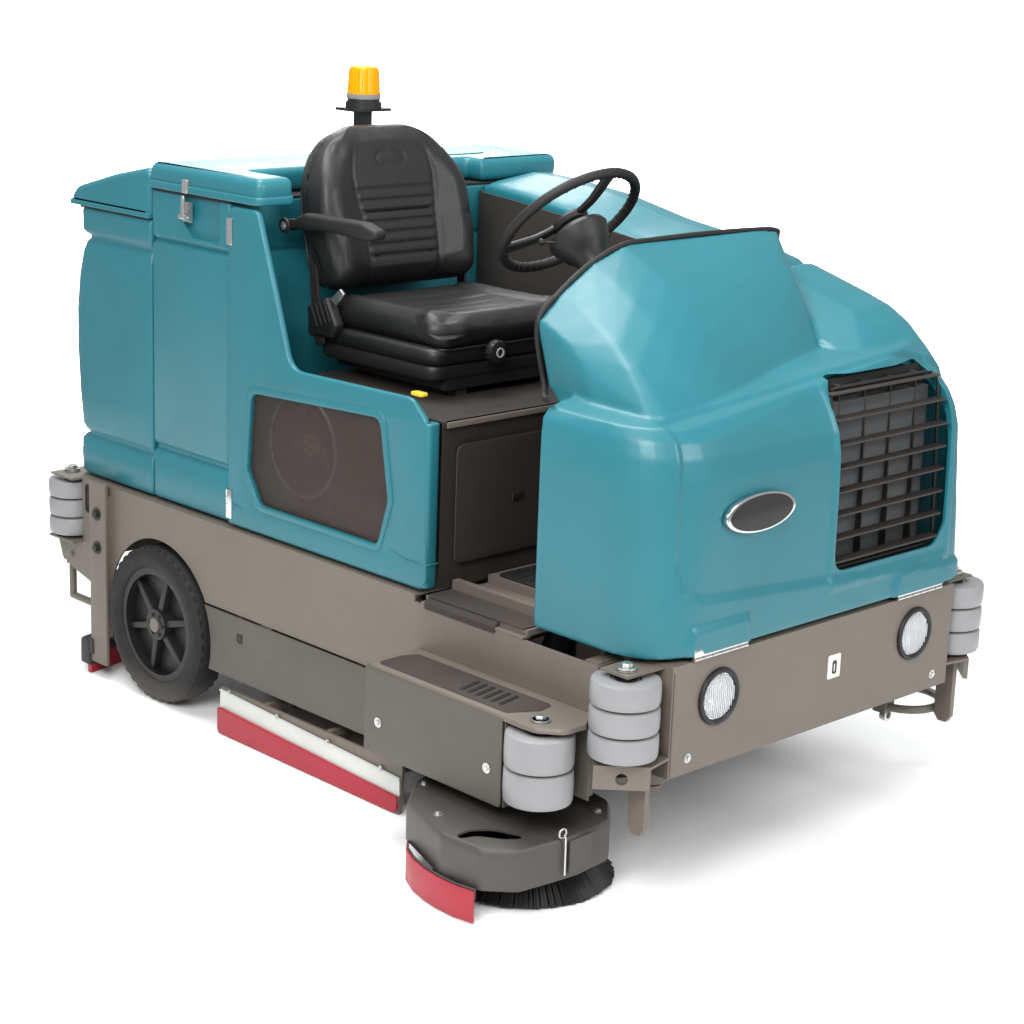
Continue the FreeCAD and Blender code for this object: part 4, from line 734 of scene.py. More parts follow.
def recovery_tank():
    """The rear tank with pressed-in belts, a drain hose and an inspection cover."""
    levels = [(581, 1088, 14), (584, 1098, 6), (592, 1105, 1), (640, 1108, 0), (682, 1106, 0),
        (692, 1100, 6), (698, 1090, 13), (707, 1088, 13), (714, 1095, 5), (730, 1101, 0), (820, 1114, 0),
        (950, 1123, 0), (1060, 1122, 0), (1160, 1108, 0), (1230, 1088, 1), (1258, 1076, 6),
        (1267, 1068, 14), (1276, 1069, 14), (1284, 1080, 5), (1292, 1087, 0), (1344, 1089, 0),
        (1352, 1086, 3), (1355, 1080, 9)]
    body = ring_stack("tank", tank_rings(levels, (-600, 600), 719, (12, 12, 70, 70)), angle=60)
    gasket = plate("gasket", "XY", [rect((-597, 597), (724, 1078), 24)], (1353, 1361), 1.5)
    parts = [paint(TEAL, body), paint(GASKET, gasket)]
    hose = tube("drain_hose", [(380, 1092, 980), (380, 1128, 960), (380, 1130, 760), (376, 1122, 640)], 17,
        fine=8)
    cap = lathe("drain_cap", [(0, 0), (30, 0), (30, 14), (24, 20), (0, 20)], (380, 1100, 985), "Y", 32)
    clip = block("drain_clip", (352, 408), (1104, 1136), (752, 772), 4)
    cover = plate("inspection_cover", "XZ", [rect((-300, 120), (820, 1040), 36)], (1112, 1129), 5)
    ribs = [plate("cover_rib", "XZ", [rect((-270 + k * 62, -246 + k * 62), (850, 1010), 8)], (1126, 1132),
        2) for k in range(6)]
    parts += paint(BLACK, hose, cap, clip) + paint(TEAL, cover, *ribs)
    return fit("recovery_tank_body", parts, "chassis", "recovery_tank", slot="teal_shell")


def solution_tank():
    """The middle tank with pressed-in belts and a recess for the lid latch."""
    levels = [(583, 712, 10), (587, 712, 3), (594, 712, 0), (712, 712, 0), (720, 712, 5), (726, 712, 12),
        (735, 712, 12), (743, 712, 4), (752, 712, 0), (1294, 712, 0), (1300, 712, 5), (1307, 712, 12),
        (1315, 712, 5), (1322, 712, 0), (1434, 712, 0), (1438, 712, 2), (1440, 712, 5)]
    body = ring_stack("tank", tank_rings(levels, (-600, 600), 366, (12, 12, 12, 12)), angle=60)
    recess = plate("latch_recess", "YZ", [rounded([(404, 1330), (520, 1330), (566, 1366), (566, 1500),
        (404, 1500)], 16)], (-640, -586), 2)
    carve(body, recess)
    gasket = plate("gasket", "XY", [rect((-599, 599), (369, 709), 10)], (1438, 1448), 1.5)
    return fit("solution_tank_body", [paint(TEAL, clean(body)), paint(GASKET, gasket)], "chassis",
        "solution_tank", slot="teal_shell")


def rear_lid():
    """Domed lid of the rear tank."""
    outline = [(721, 1360, 6), (721, 1500, 26), (900, 1462, 200), (1080, 1412, 60), (1104, 1386, 20),
        (1102, 1360, 6)]
    lid = plate("lid", "YZ", [rounded(outline, 10)], (-602, 602), 18)
    rim = plate("lid_rim", "YZ", [rounded([(722, 1359), (722, 1374), (1106, 1374), (1106, 1359)], 4)],
        (-604, 604), 4)
    knuckles = lid_knuckles(5, 1356, (770, 960))
    return fit("rear_lid_cover", paint(TEAL, lid, rim) + knuckles, "tank_lid", "rear_lid",
        slot="teal_shell")


def middle_lid():
    """Lid of the middle tank, with a wing reaching forward on the right and a shallow well."""
    outline = [(-603, 238, 26), (-486, 238, 20), (-486, 432, 20), (298, 432, 14), (298, 368, 10),
        (602, 368, 14), (602, 713, 8), (-603, 713, 10)]
    lid = plate("lid", "XY", [rounded(outline, 10)], (1449, 1515), 22)
    lip = plate("lid_lip", "XY", [rounded([(-608, 234, 28), (-484, 234, 20), (-484, 713, 6),
        (-608, 713, 8)], 8)], (1446, 1468), 5)
    well = plate("cup_well", "XY", [rect((60, 430), (480, 660), 40)], (1511, 1518.5), 2.5)
    catch = block("catch", (-614, -603), (531, 555), (1448, 1484), 2)
    knuckles = lid_knuckles(5, 1446, (450, 620))
    parts = paint(TEAL, lid, lip, well) + [paint(ZINC, catch)] + knuckles
    return fit("middle_lid_cover", parts, "mid_lid", "middle_lid", slot="teal_shell")


def lid_latch():
    """Over-centre latch: a shaped lever on a round knuckle."""
    lever = plate("lever", "YZ", [rounded([(534, 1384), (552, 1384), (550, 1436), (543, 1444),
        (536, 1436)], 5)], (-621, -616), 1.5)
    knuckle = lathe("latch_knuckle", oblong((4.3, 7.5), (-11, 11)), (-614, 543, 1385), "Y", 20)
    return fit("latch_lever", paint(ZINC, lever, knuckle), "lid_latch", "lid_latch_lever",
        slot="zinc_steel")


DOOR = [(360, SHELL_FOOT, 8), (360, 1436, 26), (236, 1436, 30), (156, 1218, 70), (96, 1046, 60),
    (-372, 1055, 46), (-426, 1006, 30), (-437, 601, 20), (-414, SHELL_FOOT, 14)]
WINDOW = [(256, 958), (-259, 985), (-295, 785), (-258, 661), (220, 662), (272, 747)]


def side_door():
    """The service door with its screened window and a rounded front edge."""
    window = rounded(WINDOW, 30)
    panel = plate("door", "YZ", [rounded(DOOR, 20), window], (-609, -589), 8)
    frame_ring = plate("window_ring", "YZ", [rounded([(274, 976), (-277, 1004), (-315, 785), (-268, 645),
        (230, 645), (290, 742)], 38), window], (-612, -596), 3.5)
    column = plate("door_pillar", "XY", [rounded([(-608, -437, 16), (-566, -437, 16), (-566, -402, 6),
        (-608, -402, 6)], 6)], (588, 1000), 5)
    groove = tube("door_crease", [(-609, 358, 642), (-610, 310, 640), (-609.5, 296, 632)], 2.4)
    crease = tube("pillar_crease", [(-609.5, -300, 664), (-610, -350, 650), (-610, -410, 650),
        (-600, -436, 650), (-570, -438, 650)], 2.4)
    parts = paint(TEAL, panel, frame_ring, column, groove, crease)
    for low, high in ((600, 680), (1335, 1406)):
        parts.append(paint(CHROME, block("hinge_leaf", (-613, -606), (337, 356), (low, high), 1)))
        for k in range(4):
            step = (high - low) / 4
            barrel = lathe("barrel", oblong((0, 4), (1, step - 1)), (-610, 358, low + k * step), "Z", 16)
            parts.append(paint(CHROME, barrel))
    fit("side_door_panel", parts, "access_door", "side_door", slot="teal_shell")
    glass = plate("screen", "YZ", [rounded([(266, 966), (-266, 994), (-304, 785), (-264, 652), (226, 652),
        (282, 745)], 30)], (-598, -595), 0.8)
    tabs = [hex_bolt("screen_screw", (-598, y, z), (-1, 0, 0), 7, 2.5, 0.8) for y,
        z in ((262, 948), (-270, 976), (-292, 784), (258, 690))]
    fit("door_screen", [paint(SCREEN, glass)] + paint(ZINC, *tabs), "access_door", "window_screen",
        slot="screen_mesh")
    pull = plate("pull", "XY", [rect((-599, -574), (-397, -354), 9)], (1059, 1068), 3)
    boss = lathe("boss", oblong((0, 13), (0, 4)), (-586, -360, 1055.5), "Z", 28)
    fit("latch_pull", [paint(YELLOW, pull), paint(BLACK, boss)], "access_door_latch", "door_latch_handle",
        slot="yellow_latch")


def left_panel():
    """The long left panel with pressed ribs."""
    panel = plate("panel", "YZ", [rect((-791, 359), (SHELL_FOOT, 1235), 16)], (592, 600), 2.5)
    ribs = [plate("rib", "YZ", [rect((-740 + k * 360, -440 + k * 360), (640, 1180), 40)], (596, 605),
        3.5) for k in range(3)]
    vents = []
    for k in range(9):
        z = 1040 + k * 15
        vents.append(plate("vent", "YZ", [rect((-690, -490), (z, z + 7), 3)], (603, 608), 1.5))
    return fit("left_panel_skin", paint(TEAL, panel, *ribs) + paint(BLACK, *vents), "chassis",
        "left_side_panel", slot="teal_shell")


# ---------------------------------------------------------------- frame, rollers and wheels

def roller_stack(name, node, body, count):
    """Crowned grey rollers on a black sleeve."""
    low, high = span(node)
    x, y = (low.x + high.x) / 2, (low.y + high.y) / 2
    radius = (high.x - low.x) / 2
    pitch = (high.z - low.z) / count
    parts = []
    for i in range(count):
        base = low.z + i * pitch + 1.2
        tall = pitch - 3.4
        profile = [(17, 4), (34, 4), (36, 0.5), (radius - 9, 0), (radius - 3.2, 2.4), (radius - 0.9, 8),
            (radius, tall / 2), (radius - 0.9, tall - 8), (radius - 3.2, tall - 2.4), (radius - 9, tall),
            (36, tall - 0.5), (34, tall - 4), (17, tall - 4)]
        parts.append(paint(ROLLER, lathe("roller", profile, (x, y, base), "Z", 64, 40)))
        sleeve = oblong((14, 26), (0, pitch - 1))
        parts.append(paint(BLACK, lathe("sleeve", sleeve, (x, y, low.z + i * pitch), "Z", 32)))
    return fit(name, parts, body, node, slot="roller_rubber")


def rollers():
    """Four corner stacks and the step stack, with the heads of their pins."""
    for end in ("front", "rear"):
        for side in ("right", "left"):
            roller_stack("%s_%s_roller_set" % (end, side), "%s_%s_rollers" % (end, side),
                "%s_%s_roller_stack" % (end, side), 3)
    roller_stack("step_roller_set", "step_rollers", "step_roller_stack", 2)
    bolts = []
    for x, y, z in ((-622, -1125, 581), (622, -1125, 581), (-600, 1120, 584), (600, 1120, 584),
            (-745, -985, 446)):
        bolts.append(hex_bolt("pin_bolt", (x, y, z - 3), (0, 0, 1), 24, 9, 3))
        bolts.append(lathe("pin_washer", oblong((12, 24), (0, 3)), (x, y, z - 8), "Z", 32))
    fit("roller_pin_heads", paint(ZINC, *bolts), "chassis")


def tyre_profile(radius, width):
    """Half sections of a solid tyre: a flat tread with rounded shoulders and a stepped wall."""
    half = width / 2
    return [(radius - 62, -half + 14), (radius - 58, -half + 6), (radius - 48, -half + 2),
        (radius - 30, -half), (radius - 16, -half + 2), (radius - 6, -half + 9),
        (radius - 1.5, -half + 18), (radius, -half + 28), (radius, half - 28), (radius - 1.5, half - 18),
        (radius - 6, half - 9), (radius - 16, half - 2), (radius - 30, half), (radius - 48, half - 2),
        (radius - 58, half - 6), (radius - 62, half - 14)]


def wheel(name, node, body, sign):
    """Solid tyre with slanted lugs round a six-spoke hub, which faces the side given by sign."""
    low, high = span(node)
    centre = (low + high) / 2
    radius = (high.z - low.z) / 2
    width = high.x - low.x
    parts = [paint(TYRE, lathe("tyre", tyre_profile(radius, width), centre, "X", 96, 50))]
    lugs = []
    for k in range(40):
        around = 2 * math.pi * k / 40
        for side in (-1, 1):
            corners = []
            for a, b, r in ((0.0, 8, 0), (0.0, 8, 1), (0.075, 8, 0), (0.075, 8, 1), (0.02, 42, 0),
                    (0.02, 42, 1), (0.095, 42, 0), (0.095, 42, 1)):
                angle = around + a + (0.078 if side > 0 else 0)
                out = radius + (-3 if b > 30 else 0.6) if r else radius - 14
                corners.append((centre.x + side * min(b, width / 2 - 3), centre.y + out * math.cos(angle),
                    centre.z + out * math.sin(angle)))
            lugs.append(hull("lug", corners))
    parts.append(paint(TYRE, join("lugs", lugs)))
    inner = radius - 60
    face = width / 2 - 12
    rim = [(inner - 20, -face), (inner, -face), (inner, face), (inner - 7, face + 3),
        (inner - 14, face - 2), (inner - 20, face - 16)]
    parts.append(paint(HUB, lathe("rim", rim, centre, "X", 72)))
    web = oblong((0, inner - 18), (-6, 4))
    parts.append(paint(HUB, lathe("web", web, (centre.x + sign * (face - 40), centre.y, centre.z), "X",
        72)))
    boss = [(21, -face), (44, -face), (44, face - 8), (36, face + 1), (21, face + 1)]
    parts.append(paint(HUB, lathe("boss", boss, centre, "X", 48)))
    for k in range(6):
        angle = math.pi * k / 3 + 0.26
        turn = Matrix.Rotation(angle, 3, "X")
        corners = []
        for r in (36, inner - 12):
            for w in ((-11, 11) if r == 36 else (-8, 8)):
                for a in (face - 40, face - 6 if r == 36 else face - 12):
                    corners.append(Vector((sign * a, w, r)))
        corners = [Vector(centre) + turn @ c for c in corners]
        parts.append(paint(HUB, hull("spoke", corners, 2.5)))
    for k in range(6):
        angle = math.pi * k / 3
        spot = (centre.x + sign * face, centre.y + 30 * math.cos(angle), centre.z + 30 * math.sin(angle))
        parts.append(paint(DARK_STEEL, hex_bolt("hub_bolt", spot, (sign, 0, 0), 9, 5, 1)))
    return fit(name, parts, body, node, slot="tyre_rubber")


def frame_details():
    """Post channels, bolts, tie-down rims, a blank label and a seam on the frame."""
    keep(FRAME, "main_frame", "front_corner_plates", "frame_fittings", "rear_axle", "steering_fork",
        "scrub_head", "side_brush_arm")
    keep(ZINC, "roller_pins", "latch_and_pedal_mounts")
    parts = []
    for side in (-1, 1):
        channel = oblong((888, 968), (40, 586))
        parts.append(paint(FRAME, plate("post_channel", "YZ", [rounded(channel, 8)],
            sorted((side * 634, side * 646)), 2.5)))
        for z in (392, 492):
            parts.append(paint(DARK_STEEL, hex_bolt("post_bolt", (side * 646, 928, z), (side, 0, 0), 20, 9,
                3)))
        for y, z in ((1100, 330), (1118, 420)):
            parts.append(paint(FRAME, hex_bolt("tail_bolt", (side * 620, y, z), (side, 0, 0), 12, 5, 1)))
        slot = oblong((1004, 1020), (480, 553))
        parts.append(paint(BLACK, plate("tie_slot_rim", "YZ",
            [rect((999, 1025), (474, 559), 12), rounded(slot, 7)], sorted((side * 619, side * 622)), 0.7)))
    for x in (-470, 470):
        parts.append(paint(ZINC, hex_bolt("nose_bolt", (x, BUMPER_FACE, 345), (0, -1, 0), 12, 5, 1.4)))
    label = plate("blank_label", "XZ", [rect((30, 78), (425, 485), 5)], (BUMPER_FACE - 2.4, BUMPER_FACE), 0.5)
    mark = plate("tie_symbol", "XZ", [rect((46, 62), (436, 470), 7), rect((51, 57), (442, 462), 2.5)],
        (BUMPER_FACE - 3.4, BUMPER_FACE - 2), 0.3)
    parts += [paint(BLANK_LABEL, label), paint(BLACK, mark)]
    seam = tube("nose_seam", [(-529, BUMPER_FACE - 0.5, z) for z in (560, 312)], 1.4)
    parts.append(paint(SKIRT, seam))
    return fit("frame_hardware", parts, "chassis")


def brush_doors():
    """Skirt doors cut round the rear wheels, each with a square latch and two pivots."""
    for side, word in ((-1, "right"), (1, "left")):
        turns = [math.radians(195.7 - k * 42.9 / 12) for k in range(13)]
        arc = [(659 + 247 * math.cos(a), 225 + 247 * math.sin(a)) for a in turns]
        outline = [(-322, 338), (-322, 158)] + arc
        hole = rect((267, 293), (267, 293), 4)
        leaf = plate("leaf", "YZ", [outline, hole], sorted((side * 620.8, side * 626.4)), 1.6)
        parts = [paint(SKIRT, leaf)]
        latch = block("latch_cup", (side * 621, side * 624.5), (263, 297), (263, 297), 2)
        tongue = block("latch_tongue", (side * 623, side * 626), (276, 284), (276, 292), 1)
        parts += [paint(BLACK, latch), paint(DARK_STEEL, tongue)]
        for z in (177, 279):
            parts.append(paint(SKIRT, lathe("knuckle", oblong((0, 4), (0, 38)), (side * 625, -326, z), "Z",
                16)))
        fit("%s_skirt_leaf" % word, parts, "%s_skirt_door" % word, "%s_brush_door" % word,
            slot="frame_paint")


def step_box():
    """Rounded step over the side brush with a grip patch, slots, walls and a pocket for its rollers."""
    outline = [(-622, -427, 4), (-786, -427, 26), (-786, -900, 40), (-790, -960, 30), (-788, -1010, 50),
        (-742, -1063, 30), (-702, -1063, 6), (-690, -1064, 4), (-622, -1064, 6)]
    outer = rounded(outline, 20)
    rings = []
    for z, inset in ((428, 0), (434, 0.5), (438.5, 3), (440.5, 9)):
        rings.append([(min(x + inset * 1.2, -621), y + inset if y < -700 else y - inset, z) for x,
            y in outer])
    lid = ring_stack("step_lid", rings, angle=50)
    parts = [paint(FRAME, lid)]
    gap = lathe("gap", oblong((0, 84), (0, 120)), (-622, -1125, 350), "Z", 64)
    carve(lid, gap)
    grip = plate("grip_patch", "XY", [rounded([(-770, -900, 16), (-700, -940, 16), (-652, -930, 16),
        (-652, -470, 12), (-690, -452, 12), (-770, -452, 20)], 14)], (439.5, 442.5), 1.2)
    parts.append(paint(TREAD_STRIP, grip))
    for k in range(6):
        y = -860 + k * 26
        bar = plate("grip_slot", "XY", [rounded([(-748, y), (-676, y + 14), (-676, y + 26),
            (-748, y + 12)], 5)], (441.5, 444.5), 1.2)
        parts.append(paint(BLACK, bar))
    skirt = plate("outer_wall", "YZ", [rect((-428, -906), (216, 434), 10)], (-788, -782), 2)
    rear = plate("rear_wall", "XZ", [rect((-786, -622), (216, 434), 10)], (-432, -426), 2)
    parts += paint(SKIRT, skirt, rear)
    inner = block("pocket_back", (-782, -737), (-912, -908), (217, 430), 1)
    inner_high = block("pocket_back_high", (-740, -653), (-912, -908), (248, 430), 1)
    cheek = block("pocket_side", (-657, -653), (-1058, -908), (248, 430), 1)
    fore = block("fore_wall", (-652, -622), (-1040, -1034), (248, 430), 1)
    mount = block("mount", (-626, -620), (-1024, -426), (324, 430), 1)
    ear = plate("lower_ear", "XY", [rounded([(-736, -1038), (-787, -1000), (-787, -932), (-736, -932)],
        14)], (237, 242), 1)
    parts += paint(SKIRT, inner, inner_high, cheek, fore, mount, ear)
    for y in (-480, -860):
        parts.append(paint(ZINC, hex_bolt("step_bolt", (-788, y, 300), (-1, 0, 0), 13, 5, 1.5)))
    return fit("step_cover", parts, "chassis", "step_box", slot="frame_paint")


def headlights():
    """Sealed-beam lamps: dark bezel, silver bowl and a fluted domed lens."""
    parts = []
    for x in (-375, 375):
        centre = (x, BUMPER_FACE, 474)
        bezel = [(55, -2), (68, -2), (69, 3), (67, 8), (61, 10), (56, 7)]
        parts.append(paint(BLACK, lathe("bezel", bezel, centre, (0, -1, 0), 72)))
        bowl = [(0, -46), (22, -44), (44, -26), (56, -4), (58, 2), (52, 2), (40, -22), (20, -38), (0, -40)]
        parts.append(paint(SILVER, lathe("bowl", bowl, centre, (0, -1, 0), 64, 60)))
        bulb = [(0, -38), (7, -36), (8, -18), (5, -12), (0, -10)]
        parts.append(paint(CLEAR, lathe("bulb", bulb, centre, (0, -1, 0), 24, 60)))
        dome = [(0, 6.8), (18, 6.4), (36, 5.2), (50, 3.2), (57, 1), (57, -1), (50, 0.5), (36, 2.6),
            (18, 3.8), (0, 4.2)]
        parts.append(paint(LAMP, lathe("lens", dome, centre, (0, -1, 0), 64, 60)))
        flutes = []
        for k in range(-7, 8):
            reach = math.sqrt(max(52 ** 2 - (k * 7) ** 2, 0))
            path = [(x + k * 7, BUMPER_FACE - 4.5 - 3.2 * (1 - (t / 60) ** 2 - (k / 8) ** 2 * 0.5),
                474 + t) for t in (-reach, -reach / 2, 0, reach / 2, reach)]
            flutes.append(tube("flute", path, 1.3, sides=1, fine=4))
        parts.append(paint(LAMP, join("flutes", flutes)))
        shell = [(0, -58), (30, -56), (60, -20), (62, -3), (58, -3), (50, -24), (28, -50), (0, -52)]
        parts.append(paint(BLACK, lathe("shell", shell, centre, (0, -1, 0), 48, 60)))
    return fit("headlight_set", parts, "chassis", "headlights", slot="lamp_glass")


# ---------------------------------------------------------------- brushes and squeegees

def tufts(name, ends, low_radius, high_radius, sides=5):
    """Tapered bristle bundles, each from a root to a tip."""
    points, faces = [], []
    for root, tip in ends:
        turn = turn_to(Vector(tip) - Vector(root))
        start = len(points)
        for centre, radius in ((root, low_radius), (tip, high_radius)):
            for k in range(sides):
                a = 2 * math.pi * k / sides
                points.append(Vector(centre) + turn @ Vector((radius * math.cos(a), radius * math.sin(a),
                    0)))
        for k in range(sides):
            j = (k + 1) % sides
            faces.append((start + k, start + j, start + sides + j, start + sides + k))
        faces.append(tuple(range(start + sides - 1, start - 1, -1)))
        faces.append(tuple(range(start + sides, start + 2 * sides)))
    data = bpy.data.meshes.new(name)
    data.from_pydata([P(*point) for point in points], [], faces)
    return shade(link(name, data), 50)


def scrub_brush(name, node, body):
    """Cylindrical brush: a core with bristle rows in a chevron."""
    low, high = span(node)
    centre = (low + high) / 2
    radius = (high.z - low.z) / 2 - 0.5
    core = [(0, low.x + 4), (52, low.x + 4), (58, low.x + 12), (58, high.x - 12), (52, high.x - 4),
        (0, high.x - 4)]
    parts = [paint(BLACK, lathe("core", core, (0, centre.y, centre.z), "X", 40))]
    ends = []
    for row in range(18):
        for k in range(44):
            x = low.x + 20 + k * (high.x - low.x - 40) / 43
            a = 2 * math.pi * row / 18 + abs(x) * 0.0022 + random.uniform(-0.02, 0.02)
            out = radius - random.uniform(0, 5)
            way = Vector((0, math.cos(a), math.sin(a)))
            base = Vector((x, centre.y, centre.z))
            ends.append((base + way * 54, base + way * out))
    parts.append(paint(BRISTLE, tufts("rows", ends, 5, 9, 4)))
    return fit(name, parts, body, node, slot="bristle")


def side_brush():
    """Disc brush with flared bristles under a domed plate."""
    low, high = span("side_brush_disc")
    x, y = (low.x + high.x) / 2, (low.y + high.y) / 2
    profile = [(0, 150), (40, 150), (46, 96), (150, 82), (160, 74), (160, 60), (150, 56), (0, 56)]
    parts = [paint(BLACK, lathe("brush_plate", profile, (x, y, 0), "Z", 64))]
    ends = []
    for root, tip, count in ((154, 213, 150), (140, 196, 130), (122, 176, 110), (104, 150, 90)):
        for k in range(count):
            a = 2 * math.pi * k / count + random.uniform(-0.012, 0.012)
            way = Vector((math.cos(a), math.sin(a), 0))
            floor = 2.5 + random.uniform(0, 4)
            reach = min(tip + random.uniform(-4, 0), 213)
            ends.append((Vector((x, y, 66)) + way * root, Vector((x, y, floor)) + way * reach))
    parts.append(paint(BRISTLE, tufts("bristles", ends, 3.4, 6.2, 4)))
    return fit("side_brush_bristles", parts, "side_brush", "side_brush_disc", slot="bristle")


def side_brush_housing():
    """Rounded cover over the side brush with a curved slot, an eye and rod, a motor and its own red wiper."""
    outline = [(-856, -666, 20), (-758, -584, 40), (-646, -551, 40), (-524, -563, 40), (-448, -757, 50),
        (-484, -968, 40), (-570, -1050, 40), (-690, -1064, 20), (-762, -1058, 20), (-858, -1046, 40),
        (-918, -984, 40), (-930, -868, 60)]
    flat = rounded(outline, 30, 4)
    middle = Vector((-690, -820))
    rings = []
    for z, inset in ((78, 0), (80, -1), (160, -1), (170, 1.5), (176, 6), (178.5, 14), (179, 60),
            (179, 230)):
        ring = []
        for point in flat:
            spot = Vector(point)
            toward = (middle - spot)
            ring.append((*(spot + toward.normalized() * min(inset, toward.length * 0.9)), z))
        rings.append(ring)
    shell = ring_stack("cover", rings, caps="end", angle=50)
    wall = shell.modifiers.new("wall", "SOLIDIFY")
    wall.thickness = 0.005
    wall.offset = -1
    bake(shell)
    slot = plate("slot", "XY", [rounded([(-915, -912, 10), (-906, -892, 10), (-862, -888, 40),
        (-820, -920, 40), (-792, -984, 12), (-806, -1004, 12), (-840, -980, 40), (-876, -926, 40)], 8)],
        (150, 200), 0.3)
    carve(shell, slot)
    parts = [paint(COVER, clean(shell))]
    hub = [(0, 179), (70, 179), (72, 186), (64, 196), (50, 200), (48, 206), (0, 206)]
    motor = oblong((0, 40), (178, 209))
    for profile, surface in ((hub, DARK_STEEL), (motor, BLACK)):
        parts.append(paint(surface, lathe("brush_motor", profile, (-645, -850, 0), "Z", 48)))
    bracket = plate("lift_bracket", "YZ", [rounded([(-790, 178), (-700, 178), (-712, 206), (-760, 208)],
        10)], (-660, -652), 1.5)
    parts.append(paint(FRAME, bracket))
    for px, py in ((-560, -1000), (-760, -620), (-590, -600), (-860, -780)):
        parts.append(paint(ZINC, hex_bolt("cover_bolt", (px, py, 178), (0, 0, 1), 13, 6, 2)))
    eye = [(-734 + 11 * math.cos(a), -1058,
        190 + 11 * math.sin(a)) for a in (k * math.pi / 6 for k in range(12))]
    parts.append(paint(ZINC, tube("eye", eye, 2.6, True, 2, 2)))
    parts.append(paint(ZINC, tube("eye_rod", [(-734, -1064, 182), (-734, -1068, 176), (-734, -1069, 92)],
        2.6)))
    fold = [(-722, -1068), (-640, -1062), (-640, -1066), (-722, -1072)]
    parts.append(paint(COVER, plate("cover_seam", "XY", [fold], (92, 172), 0.8)))
    wiper = [(-858, -672), (-896, -712), (-922, -764), (-938, -820), (-945, -873), (-946, -930),
        (-936, -985)]
    for offset, low, high, surface in ((0, 4, 80, RED), (6, 58, 84, COVER)):
        outer = [Vector(p) + Vector((offset, offset * 0.4)) for p in wiper]
        inner = [p + Vector((4.5, 1.5)) for p in outer]
        strip = [tuple(p) for p in outer] + [tuple(p) for p in reversed(inner)]
        piece = plate("wiper", "XY", [strip], (low, high), 0.8)
        parts.append(paint(surface, piece))
    return fit("side_brush_cover", parts, "side_brush_head", "side_brush_housing", slot="frame_paint")


def side_squeegees():
    """Pale holder strip folded over a red blade, with a row of bolts."""
    for side, word in ((-1, "right"), (1, "left")):
        holder = [(342, 122, 10), (342, 70, 6), (-402, 42, 6), (-402, 92, 10)]
        blade = [(342, 78, 4), (342, 4, 14), (318, 1.6, 10), (-380, 1.6, 10), (-402, 6, 6), (-402, 52, 4)]
        strip = plate("holder", "YZ", [rounded(holder, 6)], sorted((side * 640, side * 646)), 2)
        lip = tube("holder_lip", [(side * 644, 342, 122), (side * 644, -402, 92)], 4)
        rubber = plate("blade", "YZ", [rounded(blade, 6)], sorted((side * 636, side * 640)), 1)
        outer = plate("blade_face", "YZ", [rounded([(342, 74, 4), (342, 6, 14), (318, 3, 10),
            (-380, 3, 10), (-402, 8, 6), (-402, 46, 4)], 6)], sorted((side * 645, side * 656)), 1.4)
        parts = paint(HOLDER, strip, lip) + paint(RED, rubber, outer)
        for y in (300, 90, -120, -330):
            z = 96 + (y + 400) * 0.04
            parts.append(paint(ZINC, hex_bolt("holder_bolt", (side * 646, y, z), (side, 0, 0), 9, 4, 1)))
        fit("%s_squeegee_blade" % word, parts, "%s_squeegee" % word, slot="squeegee_rubber")
        keep(FRAME, "%s_side_squeegee" % word)


def rear_squeegee():
    """End caps and knobs on the curved rear squeegee."""
    keep(BLACK, "rear_squeegee_frame")
    keep(RED, "rear_squeegee_blade")
    parts = []
    for side in (-1, 1):
        cap = hull("end_cap", [(side * a, b, c) for a in (612, 652) for b,
            c in ((966, 24), (966, 104), (1016, 24), (1016, 100), (985, 112))], 7)
        knob = lathe("knob", [(0, 0), (17, 0), (20, 4), (20, 16), (14, 22), (0, 22)],
            (side * 300, 1072, 78), "Z", 24)
        parts += paint(BLACK, cap, knob)
    return fit("squeegee_fittings", parts, "rear_squeegee")


# ---------------------------------------------------------------- seat

def soft_box(name, half, radius, cuts=44):
    """A finely divided box with round edges about the origin, in millimetres; returns its bmesh."""
    work = bmesh.new()
    bmesh.ops.create_cube(work, size=2)
    bmesh.ops.subdivide_edges(work, edges=work.edges, cuts=cuts, use_grid_fill=True)
    for vert in work.verts:
        point = Vector([c * h for c, h in zip(vert.co, half)])
        core = Vector([min(max(c, -(h - radius)), h - radius) for c, h in zip(point, half)])
        away = point - core
        vert.co = core + (away.normalized() * radius if away.length > 0 else away)
    return work


def place_soft(name, work, transform):
    """Turns a bmesh in local millimetres into an object, moved by transform to machine millimetres."""
    for vert in work.verts:
        vert.co = P(*(transform @ vert.co))
    bmesh.ops.recalc_face_normals(work, faces=work.faces)
    data = bpy.data.meshes.new(name)
    work.to_mesh(data)
    work.free()
    return shade(link(name, data), 75)


def settle(obj, cap, frames=12):
    """A short cloth run with inner pressure gives the cover its pulls and creases; movement is capped."""
    rest = [vert.co.copy() for vert in obj.data.vertices]
    cloth = obj.modifiers.new("cloth", "CLOTH")
    cloth.settings.quality = 4
    cloth.settings.mass = 0.4
    cloth.settings.tension_stiffness = 22
    cloth.settings.bending_stiffness = 1.2
    cloth.settings.use_pressure = True
    cloth.settings.uniform_pressure_force = 4
    cloth.settings.effector_weights.gravity = 0
    cloth.collision_settings.use_collision = False
    cloth.point_cache.frame_end = frames
    scene = bpy.context.scene
    for step in range(1, frames + 1):
        scene.frame_set(step)
    bake(obj)
    scene.frame_set(1)
    for vert, start in zip(obj.data.vertices, rest):
        move = vert.co - start
        if move.length > cap / 1000:
            vert.co = start + move.normalized() * cap / 1000
    return shade(obj, 75)


